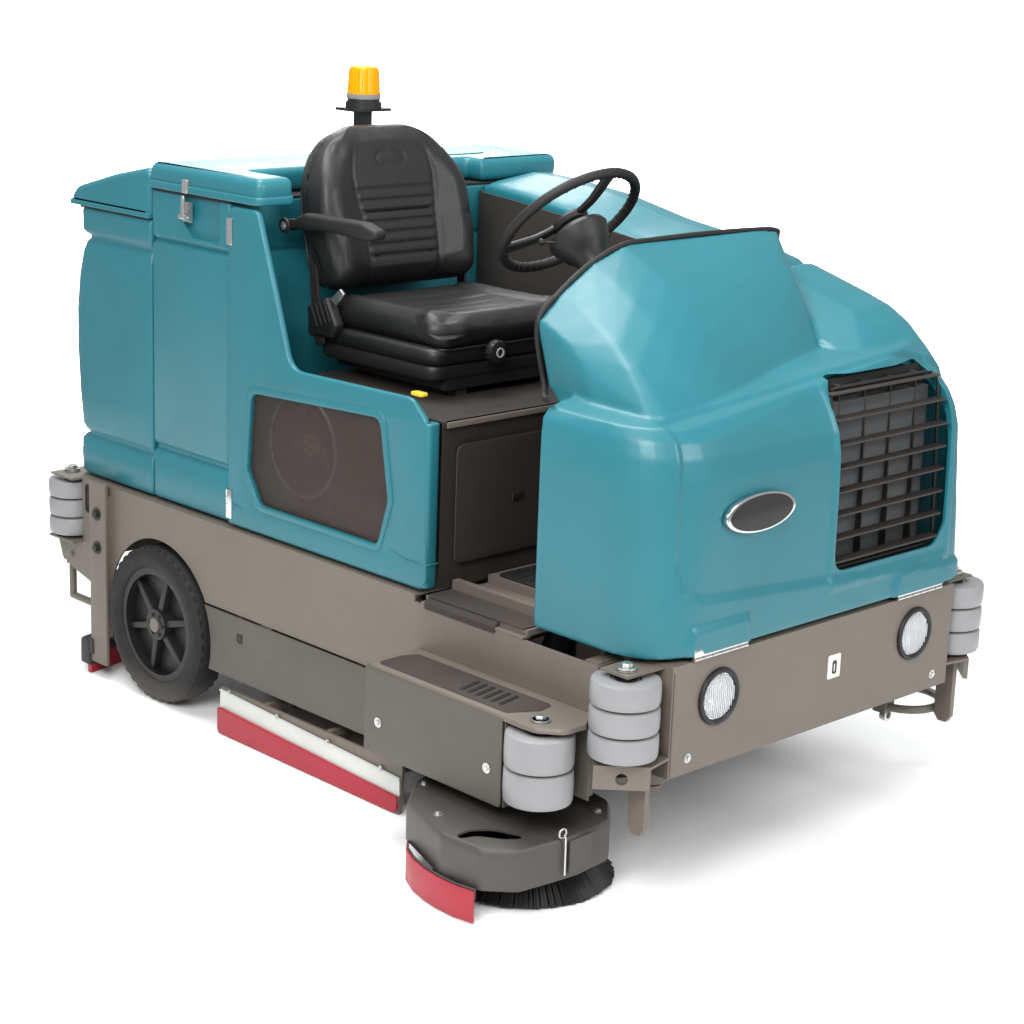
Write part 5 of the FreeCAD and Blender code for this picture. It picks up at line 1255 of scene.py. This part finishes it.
def seat_cushion():
    """Crowned cushion with side bolsters, a rolled front edge, cross channels and piping."""
    low, high = span("seat_cushion")
    centre = (low + high) / 2
    half = Vector((250, 226, 40))
    work = soft_box("cushion", half, 36, 64)
    for vert in work.verts:
        x, y, z = vert.co
        if z <= 0:
            continue
        across = abs(x) / half.x
        z += 9 * ramp(across, 0.62, 0.86) * (1 - ramp(across, 0.9, 1.0)) * (1 - ramp(-y, 150, 215))
        z -= 9 * math.exp(-((x / 150) ** 2) - ((y - 30) / 120) ** 2)
        z += 5 * math.exp(-((y + 165) / 40) ** 2)
        if across < 0.66:
            for seam in (-105, -35, 35, 105):
                z -= 4.5 * math.exp(-((y - seam) / 6) ** 2) * (1 - ramp(across, 0.6, 0.66))
        z -= 4.5 * math.exp(-((across - 0.66) / 0.022) ** 2) * ramp(y + half.y, 40, 80)
        z += 0.8 * noise.noise(Vector((x, y, 0)) * 0.012)
        vert.co.z = z
        corner = ramp(across, 0.6, 1.0) * ramp(-y, 90, 226)
        vert.co.y += 34 * corner
    middle_y = -28
    pad = place_soft("cushion", work, Matrix.Translation(Vector((centre.x, middle_y, 1160))))
    settle(pad, 5)
    parts = [paint(VINYL, pad)]
    wide, deep = 246.25, 224.58
    loop = rect((centre.x - wide, centre.x + wide), (middle_y - deep, middle_y + deep), 50, 5)
    parts.append(paint(VINYL, tube("piping", [(x, y, 1128) for x, y in loop], 3.1, True, 2)))
    return fit("seat_cushion_cover", parts, "seat_suspension", "seat_cushion", slot="seat_vinyl")


def backrest_transform():
    """Local axes of the backrest: x across, y out of its front, z up along its lean."""
    lean = math.radians(-16)
    turn = Matrix.Rotation(lean, 4, "X")
    return Matrix.Translation(Vector((-160, 268, 1422))) @ turn


def seat_back():
    """Backrest with level stitched channels, bolsters and a blank oval pressed in near the top."""
    half = Vector((270, 54, 216))
    work = soft_box("back", half, 48, 76)
    for vert in work.verts:
        x, y, z = vert.co
        across, up = abs(x) / half.x, z / half.z
        narrow = math.sqrt(1 - 0.86 * max((up + 0.1) / 1.1, 0) ** 2.3) * (1 - 0.06 * ramp(-up, 0.3, 1))
        vert.co.x = x * narrow
        if y >= 0:
            vert.co.y = y - 16 * ramp(across, 0.5, 1)
            continue
        wing = ramp(across, 0.48, 0.84) * (1 - ramp(across, 0.93, 1)) * (1 - ramp(up, 0.15, 0.8))
        y -= 6 * (1 - up ** 4) + 24 * wing
        edge = 0.47 + 0.1 * ramp(up, -0.4, 0.6)
        if across < edge and -0.72 < up < 0.2:
            for k in range(7):
                seam = -0.66 + k * 0.136
                y += 5.2 * math.exp(-((up - seam) / 0.018) ** 2) * (1 - ramp(across, edge - 0.05, edge))
        y += 5.5 * math.exp(-((across - edge) / 0.02) ** 2) * (1 - ramp(up, 0.5, 0.72))
        oval = math.sqrt((x / 58) ** 2 + ((z - 118) / 22) ** 2)
        y += 3.4 * math.exp(-((oval - 1) / 0.1) ** 2)
        y += 0.8 * noise.noise(Vector((x, 0, z)) * 0.012)
        vert.co.y = y
    pad = place_soft("back", work, backrest_transform())
    settle(pad, 5)
    parts = [paint(VINYL, pad)]
    at = backrest_transform()
    loop = [(-238, -190), (-80, -204), (80, -204), (238, -190), (256, -60), (246, 40), (204, 136),
        (128, 194), (0, 210), (-128, 194), (-204, 136), (-246, 40), (-256, -60)]
    path = [tuple(at @ Vector((x, 30, z))) for x, z in loop]
    parts.append(paint(VINYL, tube("piping", path, 3.4, True, 8)))
    shell = soft_box("shell", Vector((196, 12, 150)), 11, 12)
    parts.append(paint(BLACK, place_soft("shell", shell, at @ Matrix.Translation(Vector((0, 48, -20))))))
    for x in (-417, 107):
        arm = plate("recline_arm", "YZ", [rounded([(206, 1120), (240, 1120), (262, 1330), (232, 1330)],
            12)], (x - 3, x + 3), 1.2)
        parts.append(paint(DARK_STEEL, arm))
        parts.append(paint(BLACK, lathe("recline_cap", [(0, -9), (16, -9), (20, -5), (20, 5), (16, 9),
            (0, 9)], (x, 222, 1130), "X", 32)))
    mount = [paint(BLACK, lathe("armrest_mount", oblong((0, 15), (0, 42)), (-452, 290, 1384), "X", 32))]
    return fit("seat_back_cover", parts + mount, "backrest", "seat_backrest", slot="seat_vinyl")


def armrest():
    """Padded arm, deep at the pivot and curved to a round nose."""
    profile = [(250, 1376, 14), (262, 1406, 18), (214, 1424, 26), (-16, 1426, 40), (-72, 1410, 18),
        (-70, 1388, 18), (-30, 1378, 30), (120, 1386, 40)]
    pad = plate("arm", "YZ", [rounded(profile, 14, 8)], (-476, -432), 13)
    bar = plate("arm_bar", "YZ", [rounded([(306, 1370), (308, 1398), (250, 1404), (246, 1384)], 12)],
        (-466, -446), 3)
    disc = lathe("arm_disc", [(0, -4), (19, -4), (21, 0), (19, 4), (0, 4)], (-476, 290, 1384), "X", 32)
    bolt = hex_bolt("arm_bolt", (-480, 290, 1384), (-1, 0, 0), 12, 4, 1)
    parts = [paint(TRIM, pad), paint(DARK_STEEL, bar), paint(BLACK, disc), paint(ZINC, bolt)]
    return fit("armrest_cover", parts, "armrest_pad", "armrest", slot="seat_vinyl")


def seat_base():
    """Moulded seat pan with a lip, recline plates, a belt buckle, a ribbed knob and bellows."""
    keep(BLACK, "seat_lower_pan")
    outline = rounded([(-428, -248, 50), (118, -248, 50), (118, 226, 40), (-428, 226, 40)], 40, 8)
    pan = plate("pan", "XY", [outline], (1086, 1130), 16)
    lower = plate("pan_lip", "XY", [rounded([(-422, -240, 50), (112, -240, 50), (112, 215, 40),
        (-422, 215, 40)], 40)], (1044, 1090), 15)
    parts = [paint(VINYL, pan), paint(BLACK, lower)]
    for side in (-1, 1):
        x = -155 + side * 262
        rail = plate("recline_plate", "YZ", [rounded([(150, 1092), (258, 1092), (258, 1150), (190, 1162),
            (150, 1130)], 14)], (x - 3, x + 3), 1.2)
        parts.append(paint(DARK_STEEL, rail))
    belt = plate("belt_stalk", "YZ", [rounded([(170, 1080), (206, 1076), (216, 1130), (176, 1136)], 12)],
        (-438, -428), 3)
    buckle = hull("buckle", [(a, b, c) for a in (-450, -418) for b,
        c in ((214, 1106), (232, 1178), (150, 1212), (106, 1142), (126, 1104))], 9)
    ribs = [hull("buckle_rib", [(a, b + k * 17, c - k * 6.6) for a in (-452, -416) for b,
        c in ((128, 1150), (136, 1147), (164, 1200), (156, 1203))], 2) for k in range(4)]
    tongue = hull("tongue", [(a, b, c) for a in (-438, -430) for b,
        c in ((146, 1206), (122, 1192), (92, 1226), (108, 1238))], 2)
    parts += paint(TRIM, belt, *ribs) + [paint(BLACK, buckle), paint(ZINC, tongue)]
    fit("seat_pan_cover", parts, "seat_suspension", "seat_frame", slot="dark_trim")
    knob = lathe("knob", [(0, 0), (18, 0), (29, 3), (31, 14), (28, 23), (17, 28), (0, 28)],
        (-233, -257, 1112), (0, -1, 0), 48)
    grips = []
    for k in range(12):
        a = 2 * math.pi * k / 12
        spot = Vector((-233 + 29 * math.cos(a), -257, 1112 + 29 * math.sin(a)))
        grips.append(tube("grip", [spot + Vector((0, -5, 0)), spot + Vector((0, -21, 0))], 2.6, sides=1))
    ring = lathe("knob_ring", oblong((9, 13), (27, 30)), (-233, -257, 1112), (0, -1, 0), 32)
    fit("seat_weight_dial", paint(BLACK, knob, *grips) + [paint(HOLDER, ring)], "seat_weight_knob",
        "weight_knob", slot="dark_trim")
    folds = []
    for k, (reach, z) in enumerate(((196, 1052), (186, 1058), (196, 1064), (186, 1070), (196, 1076))):
        ring = rounded([(-155 - reach, -20 - reach, 40), (-155 + reach, -20 - reach, 40),
            (-155 + reach, -20 + reach, 40), (-155 - reach, -20 + reach, 40)], 40, 5)
        folds.append([(x, y, z) for x, y in ring])
    bellows = ring_stack("bellows", folds, angle=80)
    return fit("seat_bellows", [paint(TRIM, bellows)], "seat_slide")


# ---------------------------------------------------------------- steering, dash and pedals

STEER_AXIS = Vector((0, 1, 1)).normalized()


def steering():
    """Wheel with a gripped rim and three shaped spokes, its hub, and the column's gaiter and stalks."""
    centre = Vector((-155, -435, 1459))
    turn = turn_to(STEER_AXIS)

    def at(radius, angle, height):
        return centre + turn @ Vector((radius * math.cos(angle), radius * math.sin(angle), height))

    rim = tube("rim", [at(187, k * math.pi / 24, 0) for k in range(48)], 12.5, True, 2, 5)
    grips = []
    for k in range(48):
        a = 2 * math.pi * (k + 0.5) / 48
        ring = [at(187 - 0.2 + 12.7 * math.cos(b), a,
            12.7 * math.sin(b)) for b in (math.pi * (0.55 + j / 10) for j in range(10))]
        grips.append(tube("rim_grip", ring, 1.6, sides=1, fine=2))
    parts = paint(TRIM, rim, *grips)
    for k in range(3):
        a = math.radians(120 * k - 90)
        for shift in (-9, 9):
            path = [at(38, a + shift / 60, -4), at(100, a + shift / 130, -9), at(180, a + shift / 150, -2)]
            parts.append(paint(BLACK, tube("spoke", path, 7.5)))
        web = [at(40, a, -5), at(100, a, -10), at(174, a, -3)]
        parts.append(paint(BLACK, tube("spoke_web", web, 6)))
    hub = [(10.6, -24), (30, -24), (46, -14), (50, -4), (46, 4), (34, 7), (27.3, 7), (27.3, -5), (10.6, -5)]
    parts.append(paint(BLACK, lathe("hub", hub, centre, STEER_AXIS, 56)))
    fit("steering_wheel_rim", parts, "hand_wheel", "steering_wheel", slot="dark_trim")
    cap = [(0, -2), (24, -2), (26, 2), (24, 8), (14, 11.5), (0, 12.5)]
    dial = lathe("cap", cap, centre, STEER_AXIS, 48)
    ring = lathe("cap_ring", [(17, 10), (19.5, 9.6), (19.5, 11.6), (17, 12)], centre, STEER_AXIS, 48)
    fit("horn_cap", [paint(BLACK, dial), paint(HOLDER, ring)], "horn", "horn_button", slot="dark_trim")
    profile = [(9, -18), (9, -28), (60, -30), (76, -38), (80, -48), (74, -66), (58, -96), (44, -112),
        (40, -134), (34, -150), (32, -170), (9, -172)]
    bowl = lathe("bowl", profile, centre, STEER_AXIS, 56)
    bellows = [(0, -150)] + [(42 + (4 if k % 2 else 0), -150 - k * 5) for k in range(9)] + [(0, -190)]
    parts = [paint(BLACK, bowl), paint(TRIM, lathe("gaiter", bellows, centre, STEER_AXIS, 40))]
    for angle in (0.96 * math.pi, 0.04 * math.pi):
        start, end = at(66, angle, -56), at(108, angle, -46)
        parts.append(paint(DARK_STEEL, tube("stalk", [start, (start + end) / 2, end], 3.5)))
        knob = lathe("stalk_knob", [(0, 0), (7, 2), (9, 9), (7, 16), (0, 18)], end, end - start, 20)
        parts.append(paint(BLACK, knob))
    yoke = block("yoke", (-177, -133), (-597, -560), (1297, 1334), 5)
    parts.append(paint(DARK_STEEL, yoke))
    fit("steering_column_cover", parts, "tilt_column", "steering_column", slot="dark_trim")


def dash():
    """Dash board on its supports, with an instrument pod: blank gauges, rocker switches, a key and cables."""
    board = plate("dash_board", "XZ", [rounded([(-404, 1112, 8), (-440, 1262, 30), (-372, 1322, 20),
        (-280, 1380, 30), (-181, 1412, 30), (380, 1414, 20), (384, 1112, 8)], 20)], (-672, -664), 2)
    frame_work = [block("dash_beam", (-400, 560), (-712, -672), (1085, 1110), 3),
        block("dash_post", (524, 556), (-712, -672), (581, 1090), 3),
        block("dash_post", (-580, -548), (-850, -818), (581, 1070), 3),
        block("dash_arm", (-560, -380), (-850, -818), (1066, 1090), 3),
        block("dash_rail", (-405, -380), (-850, -672), (1066, 1090), 3)]
    ears = [plate("column_ear", "YZ", [rounded([(-666, 1290), (-562, 1296), (-562, 1334), (-666, 1340)],
        12)], (x, x + 14), 2) for x in (-195, -129)]
    pin = lathe("column_pin", oblong((0, 11), (0, 84)), (-197, -579.2, 1314.8), "X", 32)
    pod = plate("pod", "YZ", [rounded([(-666, 1380), (-666, 1290), (-640, 1281), (-560, 1300),
        (-590, 1372)], 10)], (-40, 170), 6)
    fit("dash_board_panel", paint(CAB, board, pod) + [paint(ZINC, pin)] + paint(DARK_STEEL, *frame_work,
        *ears), "chassis", "dash_panel", slot="cab_grey")
    parts = []
    face = Matrix.Translation(Vector((65, -574, 1338))) @ Matrix.Rotation(math.radians(-22.6), 4, "X")

    def on_face(u, v, w=0):
        return tuple(face @ Vector((u, w, v)))

    out = (face.to_3x3() @ Vector((0, 1, 0)))
    radius, v = 24, 8
    for u in (-70, -16):
        ring = [(radius, 0), (radius + 3, 0), (radius + 3, 5), (radius, 6), (radius - 2, 4), (0, 4), (0, 0)]
        parts.append(paint(BLACK, lathe("gauge", ring, on_face(u, v), out, 40)))
        dial = lathe("gauge_dial", oblong((0, radius - 3), (4, 4.6)), on_face(u, v), out, 40)
        parts.append(paint(BLANK_LABEL, dial))
        needle = tube("needle", [on_face(u, v, 5.4), on_face(u + 8, v + 13, 5.4)], 0.9, sides=1)
        parts.append(paint(RED, needle))
    for k in range(5):
        u, v = 24 + (k % 3) * 27, 16 - (k // 3) * 30
        corners = [on_face(u + a, v + b, w) for a in (-9, 9) for b in (-11, 11) for w in (0, 6)]
        parts.append(paint(BLACK, hull("switch", corners, 2)))
        corners = [on_face(u + a, v + b, w) for a in (-6.5, 6.5) for b,
            w in ((-8.5, 5), (8.5, 5), (-8.5, 8), (8.5, 10))]
        parts.append(paint(TRIM if k else RED, hull("rocker", corners, 1.2)))
    key = lathe("key_barrel", [(0, 0), (11, 0), (11, 6), (8, 8), (0, 8)], on_face(84, -14), out, 32)
    parts.append(paint(ZINC, key))
    parts.append(paint(BLACK, hull("key", [on_face(84 + a, -14 + b, w) for a in (-1.5, 1.5) for b in (-9,
        9) for w in (7, 24)], 1)))
    for k in range(3):
        path = [(-60 + k * 40, -660, 1120), (-62 + k * 44, -652, 1170 + k * 10),
            (-40 + k * 50, -655, 1240), (-20 + k * 40, -655, 1290)]
        parts.append(paint(BLACK, tube("cable", path, 5)))
    for k in range(6):
        z = 1150 + k * 18
        vent = plate("vent", "XZ", [rect((230, 370), (z, z + 8), 3.5)], (-665, -660), 1.2)
        parts.append(paint(BLACK, vent))
    return fit("dash_details", parts, "chassis")


def pedals():
    """Rubber treads with ribs on the two pedals."""
    for x, body, node in ((-40, "accelerator", "accelerator_pedal"), (-250, "brake", "brake_pedal")):
        keep(DARK_STEEL, node)
        parts = []
        low, high = Vector((0, -918, 634)), Vector((0, -972, 688))
        along = high - low
        out = Vector((0, 0.72, 0.69))
        corners = []
        for a in (-36, 36):
            for t in (0.02, 0.98):
                for w in (1, 5):
                    corners.append(Vector((x + a, 0, 0)) + low + along * t + out * w)
        parts.append(paint(TRIM, hull("tread", corners, 2)))
        for k in range(7):
            spot = low + along * (0.1 + k * 0.13) + out * 5
            rib = tube("rib", [spot + Vector((x - 32, 0, 0)), spot + Vector((x + 32, 0, 0))], 2, sides=1)
            parts.append(paint(TRIM, rib))
        fit("%s_tread" % node, parts, body)


def cab():
    """The driver's place: a ledge, tread strips, a floor mat, a bulkhead panel and the hood wall."""
    keep(CAB, "cab_bulkhead")
    keep(CAB_FLOOR, "footwell_floor")
    parts = []
    ledge = block("ledge", (-552, 288), (-442, -425), (984, 1000), 3)
    parts.append(paint(CAB_FLOOR, ledge))
    strip = plate("entry_strip", "XY", [rect((-612, -528), (-786, -450), 8)], (576, 580), 1.2)
    parts.append(paint(TREAD_STRIP, strip))
    edge = hull("edge_strip", [(x, y, z) for y in (-700, -452) for x,
        z in ((-624, 548), (-624, 563), (-606, 564), (-606, 578), (-622, 566))], 1.5)
    parts.append(paint(TREAD_STRIP, edge))
    mat = plate("floor_mat", "XY", [rect((-392, 142), (-1000, -462), 24)], (592, 597), 2)
    parts.append(paint(TRIM, mat))
    for k in range(14):
        y = -980 + k * 38
        rib = plate("mat_rib", "XY", [rect((-374, 124), (y, y + 10), 4)], (596, 599), 1)
        parts.append(paint(TRIM, rib))
    for y in (-300, -150, 0, 150):
        parts.append(paint(DARK_STEEL, hex_bolt("deck_bolt", (240, y, 1000), (0, 0, 1), 10, 4, 1)))
    panel = plate("bulkhead_panel", "XZ", [rect((-520, -80), (640, 940), 24)], (-444.5, -440), 2)
    catch = block("panel_catch", (-330, -290), (-448, -441), (770, 790), 2)
    parts += [paint(CAB, panel), paint(BLACK, catch)]
    wall = plate("hood_wall", "YZ", [rounded([(-426, 1004, 4), (-426, 1330, 20), (-357, 1352, 30),
        (200, 1412, 60), (350, 1424, 6), (350, 1004, 4)], 10)], (284, 289), 1.5)
    parts.append(paint(CAB, wall))
    return fit("cab_trim", parts, "chassis")


def engine_bay():
    """The fan behind the side screen: its guard ring, four bars and an orange hub cap."""
    keep(ENGINE, "power_unit")
    parts = []
    low, high = span("cooling_fan")
    x, y, z = low.x, (low.y + high.y) / 2, (low.z + high.z) / 2
    guard = [(x - 30, y + 134 * math.cos(a),
        z + 134 * math.sin(a)) for a in (k * math.pi / 16 for k in range(32))]
    parts.append(paint(HOLDER, tube("fan_guard", guard, 4.5, True, 2)))
    for k in range(4):
        a = math.pi * k / 4 + 0.3
        way = Vector((0, math.cos(a), math.sin(a)))
        centre = Vector((x - 36, y, z))
        parts.append(paint(DARK_STEEL, tube("guard_bar", [centre - way * 134, centre, centre + way * 134],
            2.2)))
    fit("fan_guard_ring", parts, "chassis")
    keep(BLACK, "cooling_fan")
    cap = lathe("fan_hub", [(0, 0), (27, 0), (30, -6), (26, -13), (0, -16)], (x + 2, y, z), "X", 40)
    return fit("fan_hub_cap", [paint(HUB_ORANGE, cap)], "engine_fan")


def beacon():
    """Fluted amber lens over a clear ring on a black bracketed base."""
    keep(BLACK, "beacon_mast")
    low, high = span("beacon_lens")
    x, y = (low.x + high.x) / 2, (low.y + high.y) / 2
    base, top = low.z, high.z
    profile = [(0, base + 2), (45.5, base + 2), (45.8, base + 6), (44, base + 12), (40, top - 12),
        (38, top - 5), (33, top - 1), (22, top), (0, top)]
    lens = lathe("lens", profile, (x, y, 0), "Z", 72)
    parts = [paint(AMBER, lens)]
    for k in range(24):
        a = 2 * math.pi * k / 24
        way = Vector((math.cos(a), math.sin(a), 0))
        path = [Vector((x, y, base + 12)) + way * 44, Vector((x, y, top - 12)) + way * 40]
        parts.append(paint(AMBER, tube("flute", path, 1.6, sides=1)))
    ring = lathe("ring", [(30, base - 11), (46, base - 11), (47, base - 6), (46.5, base + 2),
        (30, base + 2)], (x, y, 0), "Z", 64)
    parts.append(paint(CLEAR, ring))
    return fit("beacon_lamp", parts, "mid_lid", "beacon_lens", slot="amber_lens")


def guard_loop_clamp():
    """The clamp of the guard loop under the left front corner."""
    clamp = lathe("clamp", oblong((10, 17), (-9, 9)), (522, -1020, 176), "Y", 24)
    return fit("front_loop_clamp", [paint(ZINC, clamp)], "chassis")


# ---------------------------------------------------------------- camera, light and floor

def studio():
    """Pale floor, a white backdrop and four large soft lights; plain white stays white."""
    data = bpy.data.meshes.new("floor")
    half = 3.4
    data.from_pydata([(-half, -half, 0), (half, -half, 0), (half, half, 0), (-half, half, 0)], [],
        [(0, 1, 2, 3)])
    floor = link("floor", data)
    bpy.context.scene.view_settings.view_transform = "Standard"
    paint(Surface("floor_paper", "ffffff", 0.9, patch=0.01, grain=200, bump=0.02), floor)
    world = bpy.data.worlds.new("studio")
    bpy.context.scene.world = world
    world.use_nodes = True
    backdrop = world.node_tree.nodes["Background"]
    backdrop.inputs["Color"].default_value = (0.95, 0.97, 1.0, 1)
    seen = world.node_tree.nodes.new("ShaderNodeLightPath")
    level = world.node_tree.nodes.new("ShaderNodeMapRange")
    level.inputs["To Min"].default_value = 0.5
    level.inputs["To Max"].default_value = 4.0
    world.node_tree.links.new(seen.outputs["Is Camera Ray"], level.inputs["Value"])
    world.node_tree.links.new(level.outputs["Result"], backdrop.inputs["Strength"])
    for name, spot, size, power in (("key", (-3.4, -2.2, 3.6), 2.2, 190),
            ("front", (0.8, -4.6, 3.0), 2.0, 100), ("top", (-0.3, 0.5, 4.6), 2.6, 190),
            ("back", (2.6, 3.4, 3.2), 2.2, 90)):
        lamp = bpy.data.lights.new(name, "AREA")
        lamp.size = size
        lamp.energy = power
        obj = link(name, lamp)
        obj.location = spot
        aim = Vector((0.1, 0, 0.7)) - Vector(spot)
        obj.rotation_euler = aim.to_track_quat("-Z", "Y").to_euler()


def camera():
    """An onlooker's view from ahead of the machine and to its right."""
    turn, rise, roll = (math.radians(v) for v in (-44.43, 14.82, 2.03))
    back = Vector((math.sin(turn) * math.cos(rise), -math.cos(turn) * math.cos(rise), math.sin(rise)))
    right = Vector((0, 0, 1)).cross(back).normalized()
    up = back.cross(right)
    level = right * math.cos(roll) + up * math.sin(roll)
    upright = up * math.cos(roll) - right * math.sin(roll)
    data = bpy.data.cameras.new("view")
    data.sensor_width = 36
    data.lens = 77.24
    data.shift_x = 0.00216
    data.shift_y = -0.00115
    data.clip_end = 60
    obj = link("view", data)
    turned = Matrix((level, upright, back)).transposed().to_4x4()
    obj.matrix_world = Matrix.Translation(P(-4054.6, -4238.5, 2152.5)) @ turned
    bpy.context.scene.camera = obj


for build in (front_shroud, cowl_trim, grille, shroud_fittings, left_hood, recovery_tank, solution_tank,
        rear_lid, middle_lid, lid_latch, side_door, left_panel, rollers):
    build()
wheel("rear_right_wheel_set", "rear_right_wheel", "rear_right_wheel_set", -1)
wheel("rear_left_wheel_set", "rear_left_wheel", "rear_left_wheel_set", 1)
wheel("drive_wheel_tyre", "drive_wheel", "drive_wheel_set", -1)
for build in (frame_details, brush_doors, step_box, headlights):
    build()
scrub_brush("front_brush_rows", "front_scrub_brush", "front_brush")
scrub_brush("rear_brush_rows", "rear_scrub_brush", "rear_brush")
for build in (side_brush, side_brush_housing, side_squeegees, rear_squeegee, seat_cushion, seat_back,
        armrest, seat_base, steering, dash, pedals, cab, engine_bay, beacon, guard_loop_clamp, studio,
        camera):
    build()
